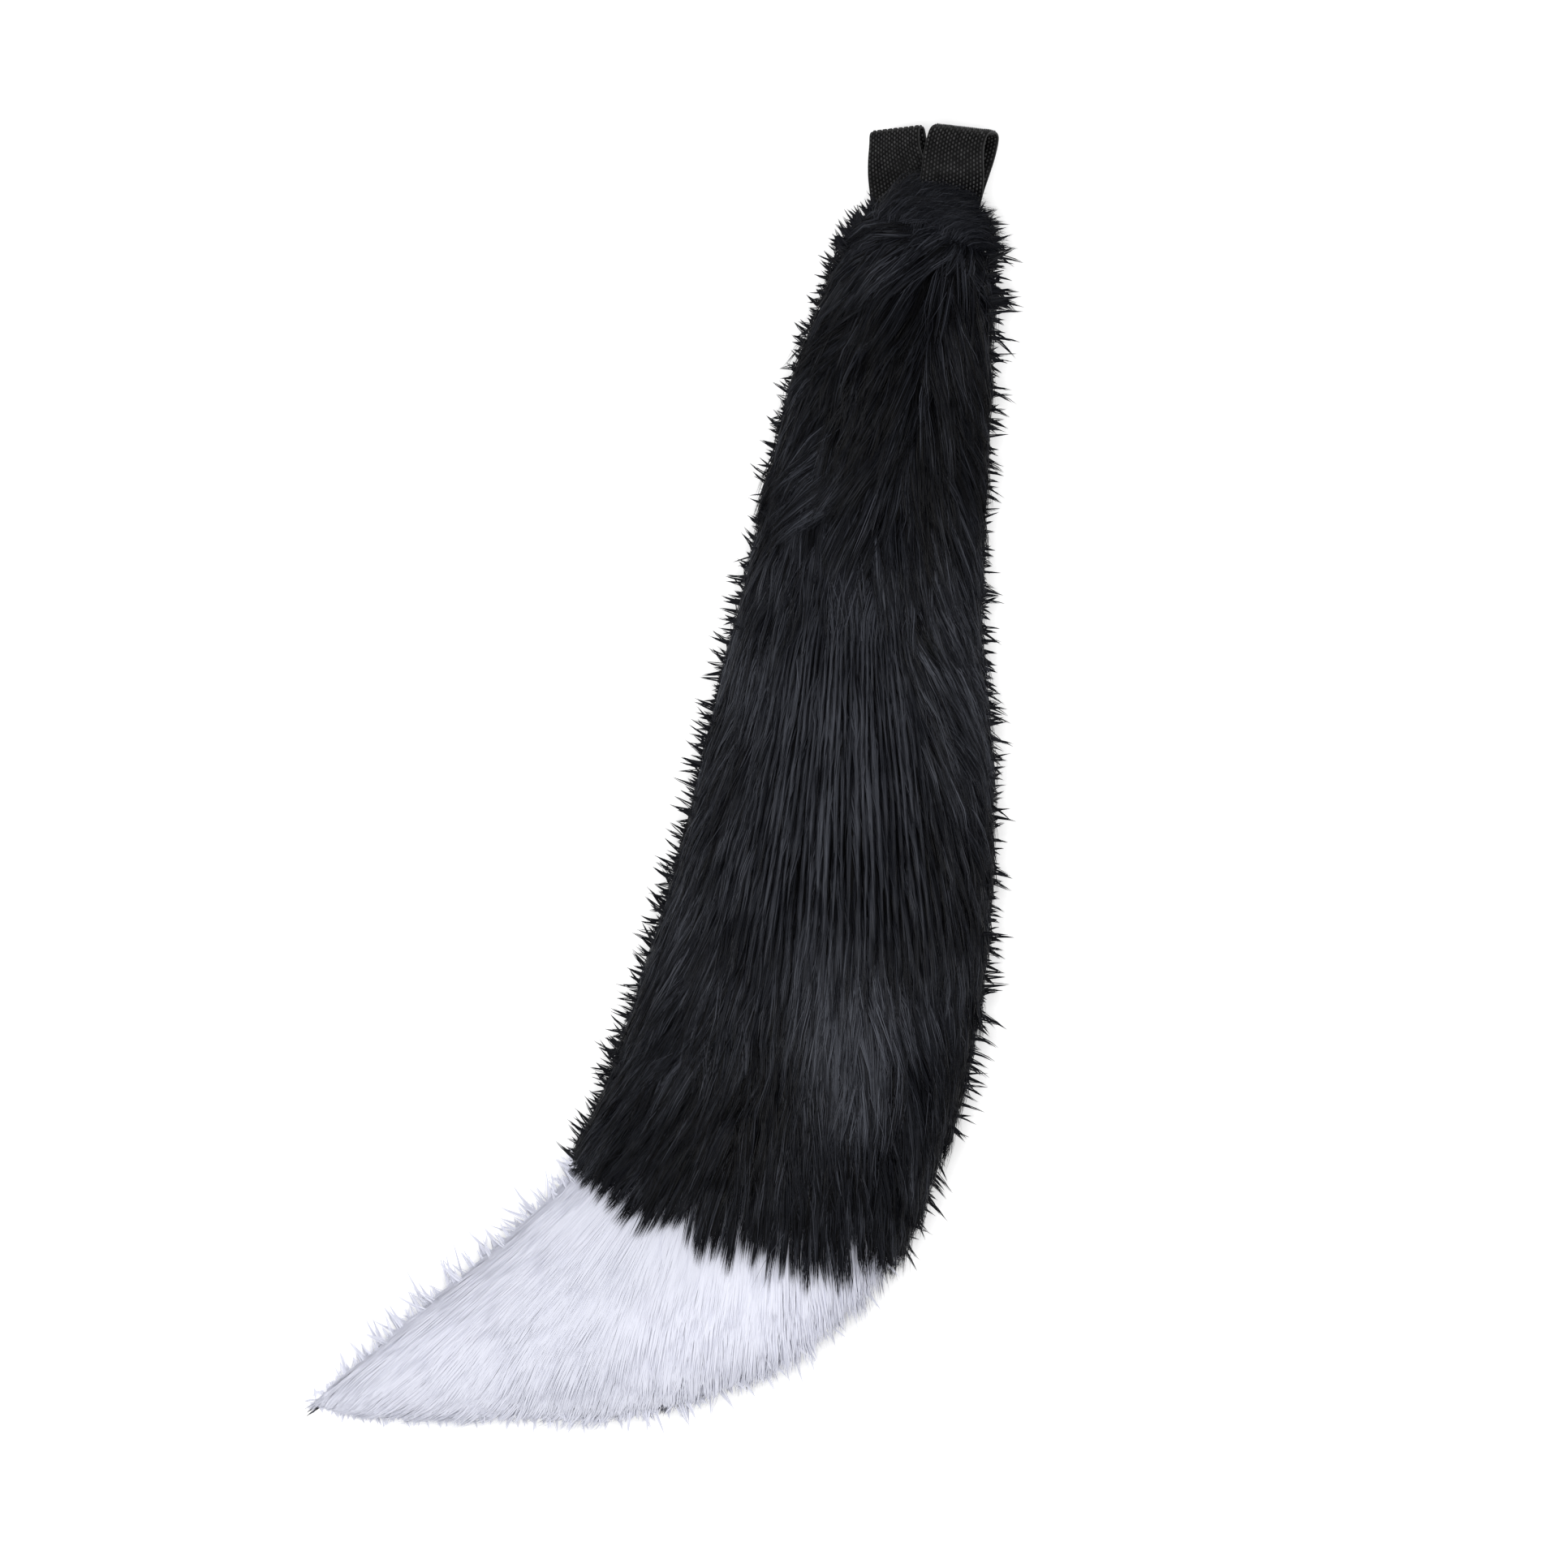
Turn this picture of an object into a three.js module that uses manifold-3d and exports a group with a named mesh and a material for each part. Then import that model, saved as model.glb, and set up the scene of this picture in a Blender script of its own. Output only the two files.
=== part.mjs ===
// A costume animal tail of long-pile faux fur: a stuffed black sleeve with a white tip sewn to its lower
// end, and two webbing loops sewn into its neck seam, through which a belt passes.
// The tail lies on its back on a flat surface. X runs to the right, Y from the tip towards the loops and
// Z up from the surface. The origin is at the bottom centre of the whole part. Lengths are millimetres.

import * as THREE from "three";
import { mergeVertices } from "three/addons/utils/BufferGeometryUtils.js";
import Module from "manifold-3d";

const wasm = await Module();
wasm.setup();

// The tail's outer size, over the pressed-down pile
const TAIL_DROP = 479; // neck seam to the end of the tip, along Y
const TAIL_SWEEP = 245; // how far the tip swings to the left of the neck
const TAIL_WIDTH = 134; // at the widest station
const TAIL_DEPTH = 86; // at the thickest station
const BELOW_SEAM = 0.42; // share of the depth that lies under the level of the side seams
const NECK_LIFT = 22; // how far the stiffly stuffed neck stands off the surface
const FLOOR_PRESS = 1.5; // how much of the belly its own weight flattens
const CROWN_ROUND = 2.2; // exponents of the section's upper and lower halves
const BELLY_ROUND = 2.8;

// The fur fabric and what it holds
const FUR_WALL = 6; // knitted backing with the dense foot of the pile
const NECK_WALL = 14; // the gathered neck, sewn through the ends of the loops
const TIP_WALL = 36; // the end of the tip, too narrow to hold any filling
const CLEARANCE = 0.3; // between any two pieces
const FILLING_CLEARANCE = 0.7; // between the fur's inside and the filling
const HEM_CLEARANCE = 0.5; // between the black locks of the hem and the white fur under them

// The locks that the long pile gathers into
const PILE_RELIEF = 4; // height of a lock's ridge above the fabric
const PILE_LENGTH = 52; // length of a lock
const HEM_LENGTH = 31; // the black locks that hang over the white
const LOCK_WIDTH = 26;
const LOCK_PITCH = 36; // between rows of locks, along the tail
const TIP_FLARE = 4; // how far a lock's point stands above its ridge
const LOCK_SINK = 3; // how deep a lock's foot sits in the fabric
const UNDERSIDE = 0.5; // sine of the turn beyond which the pile is pressed flat and gathers into no locks
const COLLAR_LENGTH = 20; // shorter locks that turn up over the neck seam
const TUFT_LENGTH = 30; // the last locks, which run past the end of the tip
const TUFT_STATION = 16;

// The seam between black and white, seen from above
const SEAM_DROP = 385; // where it crosses the tail's centreline, below the neck seam
const SEAM_SLANT = 13; // degrees by which it falls from left to right

// The webbing of the belt loops
const WEBBING_WIDTH = 25.4;
const WEBBING_THICK = 1.8;
const LOOP_RISE = 30.5; // height of a loop above the neck seam
const LOOP_GAPE = 12; // widest gap between its two legs
const LOOP_ANCHOR = 12; // length of each end that is held inside the neck

// Stations from the neck seam to the tip. along and aside are shares of TAIL_DROP and TAIL_SWEEP, width
// and depth of TAIL_WIDTH and TAIL_DEPTH, and lift of NECK_LIFT. The three comb angles say which way the
// pile lies on the left, middle and right of the station: degrees from straight down the part, and
// positive towards the left.
const STATIONS = [
  { along: 0, aside: 0, width: 0.3, depth: 0.27, lift: 1, left: 62, middle: 50, right: -48 },
  { along: 0.03, aside: 0.01, width: 0.434, depth: 0.4, lift: 0.96, left: 52, middle: 24, right: -36 },
  { along: 0.063, aside: 0.028, width: 0.5, depth: 0.49, lift: 0.87, left: 46, middle: 18, right: -26 },
  { along: 0.097, aside: 0.039, width: 0.545, depth: 0.55, lift: 0.76, left: 42, middle: 18, right: -20 },
  { along: 0.167, aside: 0.069, width: 0.611, depth: 0.62, lift: 0.52, left: 38, middle: 14, right: -18 },
  { along: 0.251, aside: 0.089, width: 0.656, depth: 0.68, lift: 0.3, left: 28, middle: 10, right: -20 },
  { along: 0.371, aside: 0.118, width: 0.773, depth: 0.79, lift: 0.1, left: 22, middle: 2, right: -38 },
  { along: 0.463, aside: 0.132, width: 0.867, depth: 0.88, lift: 0.02, left: 22, middle: 0, right: -26 },
  { along: 0.543, aside: 0.151, width: 0.929, depth: 0.94, lift: 0, left: 20, middle: 0, right: -17 },
  { along: 0.614, aside: 0.173, width: 0.983, depth: 0.98, lift: 0, left: 22, middle: 0, right: -14 },
  { along: 0.681, aside: 0.207, width: 1, depth: 1, lift: 0, left: 26, middle: 2, right: -12 },
  { along: 0.755, aside: 0.256, width: 0.995, depth: 0.99, lift: 0, left: 34, middle: 4, right: -15 },
  { along: 0.817, aside: 0.325, width: 0.936, depth: 0.94, lift: 0, left: 42, middle: 10, right: -20 },
  { along: 0.875, aside: 0.426, width: 0.839, depth: 0.86, lift: 0, left: 48, middle: 14, right: -12 },
  { along: 0.915, aside: 0.557, width: 0.69, depth: 0.74, lift: 0, left: 52, middle: 24, right: 0 },
  { along: 0.946, aside: 0.701, width: 0.483, depth: 0.57, lift: 0, left: 54, middle: 34, right: 10 },
  { along: 0.972, aside: 0.832, width: 0.303, depth: 0.4, lift: 0, left: 54, middle: 42, right: 20 },
  { along: 0.991, aside: 0.937, width: 0.156, depth: 0.24, lift: 0, left: 54, middle: 48, right: 30 },
  { along: 0.999, aside: 0.995, width: 0.05, depth: 0.1, lift: 0, left: 56, middle: 50, right: 40 },
];
const LAST = STATIONS.length - 1;
const SEGMENTS_AROUND = 20;

// One leg of a belt loop from the neck seam to the fold: rise is a share of LOOP_RISE, gape of LOOP_GAPE
const LOOP_PROFILE = [
  { rise: 0, gape: 0 },
  { rise: 0.22, gape: 0.16 },
  { rise: 0.42, gape: 0.68 },
  { rise: 0.68, gape: 1 },
  { rise: 0.89, gape: 0.76 },
  { rise: 0.985, gape: 0.32 },
];

// The two loops: aside and above place the middle of the loop's foot beside and above the neck's centre,
// lean tips it to the right, twist turns its right-hand mouth up, and part lifts its mouth from the other.
const LOOPS = [
  { name: "belt_loop_left", aside: -8.4, above: -3.2, lean: -8, twist: 26, part: -9 },
  { name: "belt_loop_right", aside: 7.8, above: 3.2, lean: 12, twist: 21, part: 9 },
];

const up = new THREE.Vector3(0, 0, 1);
const rad = THREE.MathUtils.degToRad;

// A smooth curve through one column of STATIONS, at a fractional station
function column(name, station) {
  const first = Math.min(Math.max(Math.floor(station), 0), LAST - 1);
  const t = station - first;
  const [a, b, c, d] = [-1, 0, 1, 2].map(
    (k) => STATIONS[Math.min(Math.max(first + k, 0), LAST)][name],
  );
  return b + 0.5 * t * (c - a + t * (2 * a - 5 * b + 4 * c - d + t * (3 * b - a - 3 * c + d)));
}

function planCentre(station) {
  return new THREE.Vector3(
    -TAIL_SWEEP * column("aside", station),
    -TAIL_DROP * column("along", station),
    0,
  );
}

// The tail's section at a station: its centre, its sideways direction and its three half sizes
function sectionAt(station) {
  const step = 0.01;
  const ahead = planCentre(Math.min(station + step, LAST)).sub(planCentre(Math.max(station - step, 0)));
  ahead.normalize();
  const depth = TAIL_DEPTH * column("depth", station);
  const below = BELOW_SEAM * depth;
  const centre = planCentre(station);
  centre.z = below - PILE_RELIEF - FLOOR_PRESS + NECK_LIFT * column("lift", station);
  return {
    centre,
    ahead,
    aside: new THREE.Vector3(-ahead.y, ahead.x, 0),
    half: (TAIL_WIDTH * column("width", station)) / 2,
    above: depth - below,
    below,
  };
}

// A point of the tail's outside, moved in by inset: turn runs from the right-hand side over the top
function skinPoint(station, turn, inset) {
  const { centre, aside, half, above, below } = sectionAt(station);
  const [c, s] = [Math.cos(turn), Math.sin(turn)];
  const round = s >= 0 ? CROWN_ROUND : BELLY_ROUND;
  const across = Math.sign(c) * Math.abs(c) ** (2 / round);
  const rise = Math.sign(s) * Math.abs(s) ** (2 / round);
  const thin = 0.4; // the least half size that an inset may leave
  return centre
    .clone()
    .addScaledVector(aside, Math.max(half - inset, thin) * across)
    .addScaledVector(up, Math.max((s >= 0 ? above : below) - inset, thin) * rise);
}

// A solid through rings of points, closed at both ends by fans; each ring turns the same way
function loft(rings, firstPole, lastPole) {
  const around = rings[0].length;
  const points = [...rings.flat(), firstPole, lastPole];
  const faces = [];
  const index = (ring, k) => ring * around + (k % around);
  const poleIndex = rings.length * around;
  for (let k = 0; k < around; k++) {
    faces.push(poleIndex, index(0, k + 1), index(0, k));
    faces.push(poleIndex + 1, index(rings.length - 1, k), index(rings.length - 1, k + 1));
    for (let r = 0; r + 1 < rings.length; r++) {
      faces.push(index(r, k), index(r + 1, k + 1), index(r + 1, k));
      faces.push(index(r, k), index(r, k + 1), index(r + 1, k + 1));
    }
  }
  const mesh = new wasm.Mesh({
    numProp: 3,
    vertProperties: new Float32Array(points.flatMap((p) => [p.x, p.y, p.z])),
    triVerts: new Uint32Array(faces),
  });
  return new wasm.Manifold(mesh);
}

// The tail's body from one station to another, moved in by inset, with rounded-out ends where asked
function body(from, to, inset, ringsPerStation, endRound = 0) {
  const steps = Math.round((to - from) * ringsPerStation);
  const rings = [];
  for (let i = 0; i <= steps; i++) {
    const station = from + ((to - from) * i) / steps;
    rings.push(
      Array.from({ length: SEGMENTS_AROUND }, (_, k) =>
        skinPoint(station, (2 * Math.PI * k) / SEGMENTS_AROUND, inset),
      ),
    );
  }
  const first = sectionAt(from);
  const last = sectionAt(to);
  return loft(
    rings,
    first.centre.clone().addScaledVector(first.ahead, -endRound),
    last.centre.clone().addScaledVector(last.ahead, endRound),
  );
}

// The station that lies a given distance along the centreline from another
function stationAfter(station, distance) {
  const step = 0.02;
  let here = station;
  for (let gone = 0; gone < distance && here < LAST; here += step)
    gone += planCentre(here).distanceTo(planCentre(here + step));
  return Math.min(here, LAST);
}

// Which way the pile lies at a point of the tail, as a flat direction
function combed(station, turn) {
  const q = Math.cos(turn);
  const edge = column(q < 0 ? "left" : "right", station);
  const angle = rad(THREE.MathUtils.lerp(column("middle", station), edge, Math.abs(q)));
  return new THREE.Vector3(-Math.sin(angle), -Math.cos(angle), 0);
}

// The fabric's outside, its outward normal and its two tangents at a place
function fabricAt(station, turn) {
  const step = 0.02;
  const at = (s, t) => skinPoint(s, t, PILE_RELIEF);
  const ds = at(station + step, turn).sub(at(station - step, turn)).divideScalar(2 * step);
  const dt = at(station, turn + step).sub(at(station, turn - step)).divideScalar(2 * step);
  return { point: at(station, turn), ds, dt, normal: dt.clone().cross(ds).normalize() };
}

// Walks along the pile from a root and returns the places on the way, with the height that each gains
function walk(station, turn, length, steps) {
  const places = [];
  let [s, t, lift] = [station, turn, 0];
  const outward = 0.12; // share of an outward course that becomes height
  const stride = length / steps;
  for (let i = 0; i <= steps; i++) {
    const here = fabricAt(s, t);
    const way = combed(s, t);
    const out = way.dot(here.normal);
    const flat = way.clone().addScaledVector(here.normal, -out);
    places.push({ ...here, way: flat.clone().normalize(), lift });
    const [ss, st, tt] = [here.ds.dot(here.ds), here.ds.dot(here.dt), here.dt.dot(here.dt)];
    const [sw, tw] = [here.ds.dot(flat), here.dt.dot(flat)];
    const det = ss * tt - st * st;
    s = Math.min(s + ((sw * tt - tw * st) / det) * stride, LAST);
    t += ((tw * ss - sw * st) / det) * stride;
    lift += Math.max(out, 0) * outward * stride;
  }
  return places;
}

// The places of a lock that leaves its root in a straight line, as those at both ends of the tail do
function straight(station, turn, length, steps, course) {
  const root = fabricAt(station, turn);
  const way = course.clone().addScaledVector(root.normal, -course.dot(root.normal)).normalize();
  return Array.from({ length: steps + 1 }, (_, i) => ({
    ...root,
    point: root.point.clone().addScaledVector(way, (length * i) / steps),
    way,
    lift: 0,
  }));
}

// A lock: a ridge that rises from the fabric, narrows and ends in a raised point. grow makes it larger all
// round, to cut its seat in a neighbour.
function lock({ station, turn, length, width, course }, grow = 0) {
  const shape = [
    { wide: 0.7, high: 0.35 },
    { wide: 1, high: 1 },
    { wide: 0.72, high: 1.05 },
  ];
  const places = (course ? straight : walk)(station, turn, length, shape.length, course);
  const rings = shape.map(({ wide, high }, i) => {
    const { point, normal, way, lift } = places[i];
    const across = way.clone().cross(normal);
    const half = (wide * width) / 2 + grow;
    const at = (side, height) =>
      point.clone().addScaledVector(across, side * half).addScaledVector(normal, lift + height);
    const foot = lift * 0.5 - LOCK_SINK - grow;
    const ridge = high * PILE_RELIEF + grow;
    return [at(-1, foot), at(-0.45, ridge), at(0.45, ridge), at(1, foot)];
  });
  const root = places[0].point.clone().addScaledVector(places[0].normal, -LOCK_SINK / 2);
  const end = places[shape.length];
  const tip = end.point.clone().addScaledVector(end.normal, end.lift + PILE_RELIEF + TIP_FLARE + grow);
  return loft(rings, root.addScaledVector(places[0].way, -grow), tip.addScaledVector(end.way, 2 * grow));
}

// Roots of the locks, row by row down the tail, each row shifted by half a lock from the one before
function rootsOfLocks() {
  const roots = [];
  let row = 0;
  for (let s = stationAfter(0, LOCK_PITCH / 4); s < TUFT_STATION - 1; s = stationAfter(s, LOCK_PITCH)) {
    const { half, above, below } = sectionAt(s);
    const girth = Math.PI * (half + (above + below) / 2);
    const count = Math.max(Math.round(girth / LOCK_WIDTH), 5);
    for (let k = 0; k < count; k++) {
      const turn = (2 * Math.PI * (k + (row % 2) / 2)) / count;
      if (Math.sin(turn) > -UNDERSIDE) roots.push({ station: s, turn, row, k });
    }
    row += 1;
  }
  return roots;
}

// A repeatable spread of values between 0 and 1, so that no two neighbouring locks are quite alike
function vary(row, k) {
  const x = Math.sin(row * 12.9898 + k * 78.233) * 43758.5453;
  return x - Math.floor(x);
}

// The seam between black and white as a plane: everything before it is black
const seamNormal = new THREE.Vector3(Math.sin(rad(SEAM_SLANT)), Math.cos(rad(SEAM_SLANT)), 0);
function seamPoint() {
  let s = 0;
  while (s < LAST && -planCentre(s).y < SEAM_DROP) s += 0.01;
  return planCentre(s);
}
const seamOffset = seamPoint().dot(seamNormal);
const beforeSeam = (point) => point.dot(seamNormal) - seamOffset;

// The station at which a line along the tail reaches a distance before the seam
function stationBeforeSeam(turn, distance) {
  let s = 0;
  while (s < LAST && beforeSeam(skinPoint(s, turn, PILE_RELIEF)) > distance) s += 0.01;
  return s;
}

// Every lock of the black sleeve and of the white tip, as lock() takes them
function locksOfFur() {
  const [black, white] = [[], []];
  const hemReach = 4; // the hem's locks root this far before the seam
  const hemClear = 0.45 * LOCK_PITCH; // and the rows above keep this far from them
  const whiteStart = 0.3 * HEM_LENGTH; // what the black hem covers of the white
  for (const { station, turn, row, k } of rootsOfLocks()) {
    const length = PILE_LENGTH * (0.88 + 0.24 * vary(row, k));
    const width = LOCK_WIDTH * (0.9 + 0.3 * vary(k, row));
    const { half } = sectionAt(station);
    const fitted = Math.min(length, 1.1 * half + LOCK_PITCH / 2);
    const before = beforeSeam(skinPoint(station, turn, PILE_RELIEF));
    if (before > hemReach + hemClear) black.push({ station, turn, length: fitted, width });
    if (before < -whiteStart) white.push({ station, turn, length: fitted, width: Math.min(width, half) });
  }
  const hemCount = Math.round((Math.PI * TAIL_WIDTH * 0.8) / LOCK_WIDTH);
  for (let k = 0; k < hemCount; k++) {
    const turn = (2 * Math.PI * k) / hemCount;
    const length = HEM_LENGTH * (0.85 + 0.3 * vary(k, 3));
    const station = stationBeforeSeam(turn, hemReach);
    if (Math.sin(turn) > -UNDERSIDE) black.push({ station, turn, length, width: LOCK_WIDTH });
  }
  return { black: [...black, ...collarLocks()], white: [...white, ...tipLocks()] };
}

// Short locks that turn up over the neck seam and hide the feet of the loops
function collarLocks() {
  const count = 9;
  return Array.from({ length: count }, (_, k) => {
    const turn = (2 * Math.PI * (k + 0.5)) / count;
    const course = new THREE.Vector3(-0.25 * Math.cos(turn), 1, 0).normalize();
    return { station: 0.9, turn, length: COLLAR_LENGTH, width: 0.8 * LOCK_WIDTH, course };
  });
}

// The tuft at the very end, where the locks run on past the fabric
function tipLocks() {
  const { ahead } = sectionAt(LAST - 1);
  return [0.15, 0.38, 0.62, 0.85].map((share) => ({
    station: TUFT_STATION,
    turn: Math.PI * share,
    length: TUFT_LENGTH,
    width: 0.45 * LOCK_WIDTH,
    course: ahead,
  }));
}

// Webbing folded back on itself, swept along the hairpin of LOOP_PROFILE between two shares of its length;
// grow makes it larger all round
function beltLoop({ aside, above, lean, twist, part }, from = 0, to = 1, grow = 0) {
  const held = (WEBBING_THICK + CLEARANCE) / 2;
  const leg = [
    new THREE.Vector3(0, -LOOP_ANCHOR, held),
    ...LOOP_PROFILE.map(
      ({ rise, gape }) => new THREE.Vector3(0, rise * LOOP_RISE, held + (gape * LOOP_GAPE) / 2),
    ),
  ];
  const fold = new THREE.Vector3(0, LOOP_RISE, 0);
  const back = leg.map((p) => new THREE.Vector3(0, p.y, -p.z)).reverse();
  const path = new THREE.CatmullRomCurve3([...leg, fold, ...back]);
  const foot = sectionAt(0).centre;
  const neck = new THREE.Vector3(foot.x + aside, foot.y, foot.z + above);
  const steps = 34 * (to - from);
  const rings = [];
  for (let i = 0; i <= steps; i++) {
    const share = from + ((to - from) * i) / steps;
    const p = path.getPointAt(share);
    const way = path.getTangentAt(share);
    const out = new THREE.Vector3(0, way.z, -way.y);
    if (i === 0) p.addScaledVector(way, -grow);
    if (i === steps) p.addScaledVector(way, grow);
    const corner = (side, face) =>
      new THREE.Vector3(side * (WEBBING_WIDTH / 2 + grow), 0, 0)
        .add(p)
        .addScaledVector(out, face * (WEBBING_THICK / 2 + grow));
    const turned = THREE.MathUtils.smoothstep(p.y, 0, 0.9 * LOOP_RISE);
    const parted = THREE.MathUtils.smoothstep(p.y, -LOOP_ANCHOR / 2, 0.5 * LOOP_RISE);
    const place = (v) =>
      v
        .applyAxisAngle(new THREE.Vector3(0, 1, 0), rad(-twist * turned))
        .add(new THREE.Vector3(0, 0, part * parted))
        .applyAxisAngle(up, rad(-lean))
        .add(neck);
    rings.push([corner(1, 1), corner(-1, 1), corner(-1, -1), corner(1, -1)].map(place));
  }
  const middle = (ring) => ring.reduce((sum, p) => sum.add(p), new THREE.Vector3()).divideScalar(4);
  return loft(rings, middle(rings[0]), middle(rings[steps]));
}

const union = (solids) => wasm.Manifold.union(solids);
const onFloor = (solid) => solid.trimByPlane([0, 0, 1], 0);

// What is left of a piece once the slivers that cutting sets free are dropped
const mainBody = (solid) => solid.decompose().sort((a, b) => b.volume() - a.volume())[0];

function makeSolids() {
  const loops = LOOPS.map((loop) => ({ name: loop.name, solid: beltLoop(loop) }));
  const loopSeats = union(
    LOOPS.flatMap((loop) => [beltLoop(loop, 0, 0.5, CLEARANCE), beltLoop(loop, 0.5, 1, CLEARANCE)]),
  );

  const innerFrom = stationAfter(0, NECK_WALL);
  let innerTo = LAST;
  while (stationAfter(innerTo, TIP_WALL) >= LAST) innerTo -= 0.1;
  const inset = PILE_RELIEF + FUR_WALL;
  const cover = body(0, LAST, PILE_RELIEF, 2, 1);
  const cavity = body(innerFrom, innerTo, inset, 1);
  const filling = body(stationAfter(innerFrom, CLEARANCE), innerTo - 0.05, inset + FILLING_CLEARANCE, 1);

  const normal = seamNormal.toArray();
  const back = normal.map((v) => -v);
  const blackCover = cover.trimByPlane(normal, seamOffset + CLEARANCE / 2);
  const whiteCover = cover.trimByPlane(back, -seamOffset + CLEARANCE / 2);
  const { black, white } = locksOfFur();
  const hemReach = 1.3 * PILE_LENGTH;
  const nearHem = ({ station, turn }) => beforeSeam(skinPoint(station, turn, PILE_RELIEF)) < hemReach;
  const hemSeats = union(black.filter(nearHem).map((place) => lock(place, HEM_CLEARANCE)));

  const blackFur = union([blackCover, ...black.map((place) => lock(place))])
    .subtract(cavity)
    .subtract(loopSeats);
  const blackReach = union([-1, 0, 1].map((k) => blackFur.translate([0, 0, k * HEM_CLEARANCE])));
  const whiteFur = union([whiteCover, ...white.map((place) => lock(place))])
    .subtract(cavity)
    .subtract(hemSeats)
    .subtract(blackReach);
  return [
    { name: "black_fur_sleeve", solid: onFloor(blackFur), material: "black_fur" },
    { name: "white_fur_tip", solid: onFloor(whiteFur), material: "white_fur" },
    { name: "stuffing", solid: filling, material: "filling" },
    ...loops.map((loop) => ({ ...loop, material: "webbing" })),
  ];
}

const MATERIALS = {
  black_fur: { color: 0x15161a, roughness: 0.75, metalness: 0 },
  white_fur: { color: 0xe4e4ef, roughness: 0.8, metalness: 0 },
  filling: { color: 0xf2f2ee, roughness: 0.95, metalness: 0 },
  webbing: { color: 0x1a1b1c, roughness: 0.65, metalness: 0 },
};

function geometryOf(solid) {
  const { vertProperties, triVerts } = solid.getMesh();
  const geometry = new THREE.BufferGeometry();
  geometry.setAttribute("position", new THREE.BufferAttribute(new Float32Array(vertProperties), 3));
  geometry.setIndex(new THREE.BufferAttribute(new Uint32Array(triVerts), 1));
  return geometry;
}

// A solid without its smallest facets, its points that all but touch made one
function welded(solid) {
  const merged = mergeVertices(geometryOf(solid.simplify(0.04)), 1e-3);
  const mesh = new wasm.Mesh({
    numProp: 3,
    vertProperties: merged.attributes.position.array,
    triVerts: new Uint32Array(merged.index.array),
  });
  return mainBody(new wasm.Manifold(mesh));
}

function meshOf({ name, solid, material }) {
  const geometry = geometryOf(solid).toNonIndexed();
  geometry.computeVertexNormals();
  const mesh = new THREE.Mesh(geometry, new THREE.MeshStandardMaterial(MATERIALS[material]));
  mesh.name = name;
  return mesh;
}

// The origin goes to the bottom centre of the part's box
const pieces = makeSolids();
const { min, max } = wasm.Manifold.compose(pieces.map(({ solid }) => solid)).boundingBox();
const toOrigin = [-(min[0] + max[0]) / 2, -(min[1] + max[1]) / 2, -min[2]];

const tail = new THREE.Group();
for (const piece of pieces)
  tail.add(meshOf({ ...piece, solid: welded(piece.solid.translate(toOrigin)) }));

export default tail;
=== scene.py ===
import math
import bpy
import numpy as np
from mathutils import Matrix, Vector


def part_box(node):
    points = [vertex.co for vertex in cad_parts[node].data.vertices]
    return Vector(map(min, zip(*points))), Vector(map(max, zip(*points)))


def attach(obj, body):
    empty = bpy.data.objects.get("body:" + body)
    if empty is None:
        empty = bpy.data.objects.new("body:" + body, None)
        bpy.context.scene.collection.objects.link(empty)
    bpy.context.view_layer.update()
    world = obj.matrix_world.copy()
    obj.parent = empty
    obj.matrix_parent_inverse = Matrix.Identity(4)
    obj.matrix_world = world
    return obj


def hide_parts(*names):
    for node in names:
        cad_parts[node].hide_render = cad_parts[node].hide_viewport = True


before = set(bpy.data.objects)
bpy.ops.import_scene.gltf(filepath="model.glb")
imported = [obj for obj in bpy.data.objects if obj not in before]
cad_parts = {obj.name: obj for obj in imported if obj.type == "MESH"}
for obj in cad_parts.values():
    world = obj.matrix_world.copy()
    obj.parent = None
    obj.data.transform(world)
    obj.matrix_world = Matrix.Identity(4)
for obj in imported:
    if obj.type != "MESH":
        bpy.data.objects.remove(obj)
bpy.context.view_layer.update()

# A costume tail of long-pile faux fur, lying flat: a black sleeve with a white tip, and two webbing loops in
# its neck seam. X runs to the right, Y from the tip to the loops and Z up. Lengths are metres.

TAIL_DROP = 0.479  # neck seam to the end of the tip, along Y
TAIL_SWEEP = 0.245  # how far the tip swings to the left of the neck
TAIL_WIDTH = 0.134  # at the widest place, with the pile
TAIL_DEPTH = 0.086
BELOW_SEAM = 0.42  # share of the depth under the level of the side seams
NECK_LIFT = 0.022
FLOOR_PRESS = 0.0015  # how far the underside is pressed flat
CROWN_ROUND = 2.2  # exponents of the section's upper and lower halves
BELLY_ROUND = 2.8
PILE_RELIEF = 0.004  # from the fabric's face to the outside of the combed coat
LEAST_HALF = 0.0004  # of the section, under any inset
FUR_WALL = 0.006
NECK_WALL = 0.014
CLEARANCE = 0.0003
FILLING_CLEARANCE = 0.0007
SEAM_DROP = 0.385  # neck seam to the seam between black and white, along Y
SEAM_SLANT = math.radians(13)

WEBBING_WIDTH = 0.0254
WEBBING_THICK = 0.0018
LOOP_RISE = 0.0318  # from the neck seam to the fold
LOOP_GAPE = 0.010  # between the two legs of an open loop
LOOP_ANCHOR = 0.012  # how far each end reaches into the neck
SELVEDGE = 0.0004  # rounding at the webbing's edges
RIB_COLUMNS = 18  # across the webbing
RIB_PITCH = 0.0017  # along the webbing
RIB_WIDTH = 0.00078
RIB_LENGTH = 0.00125
RIB_HEIGHT = 0.0006

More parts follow.
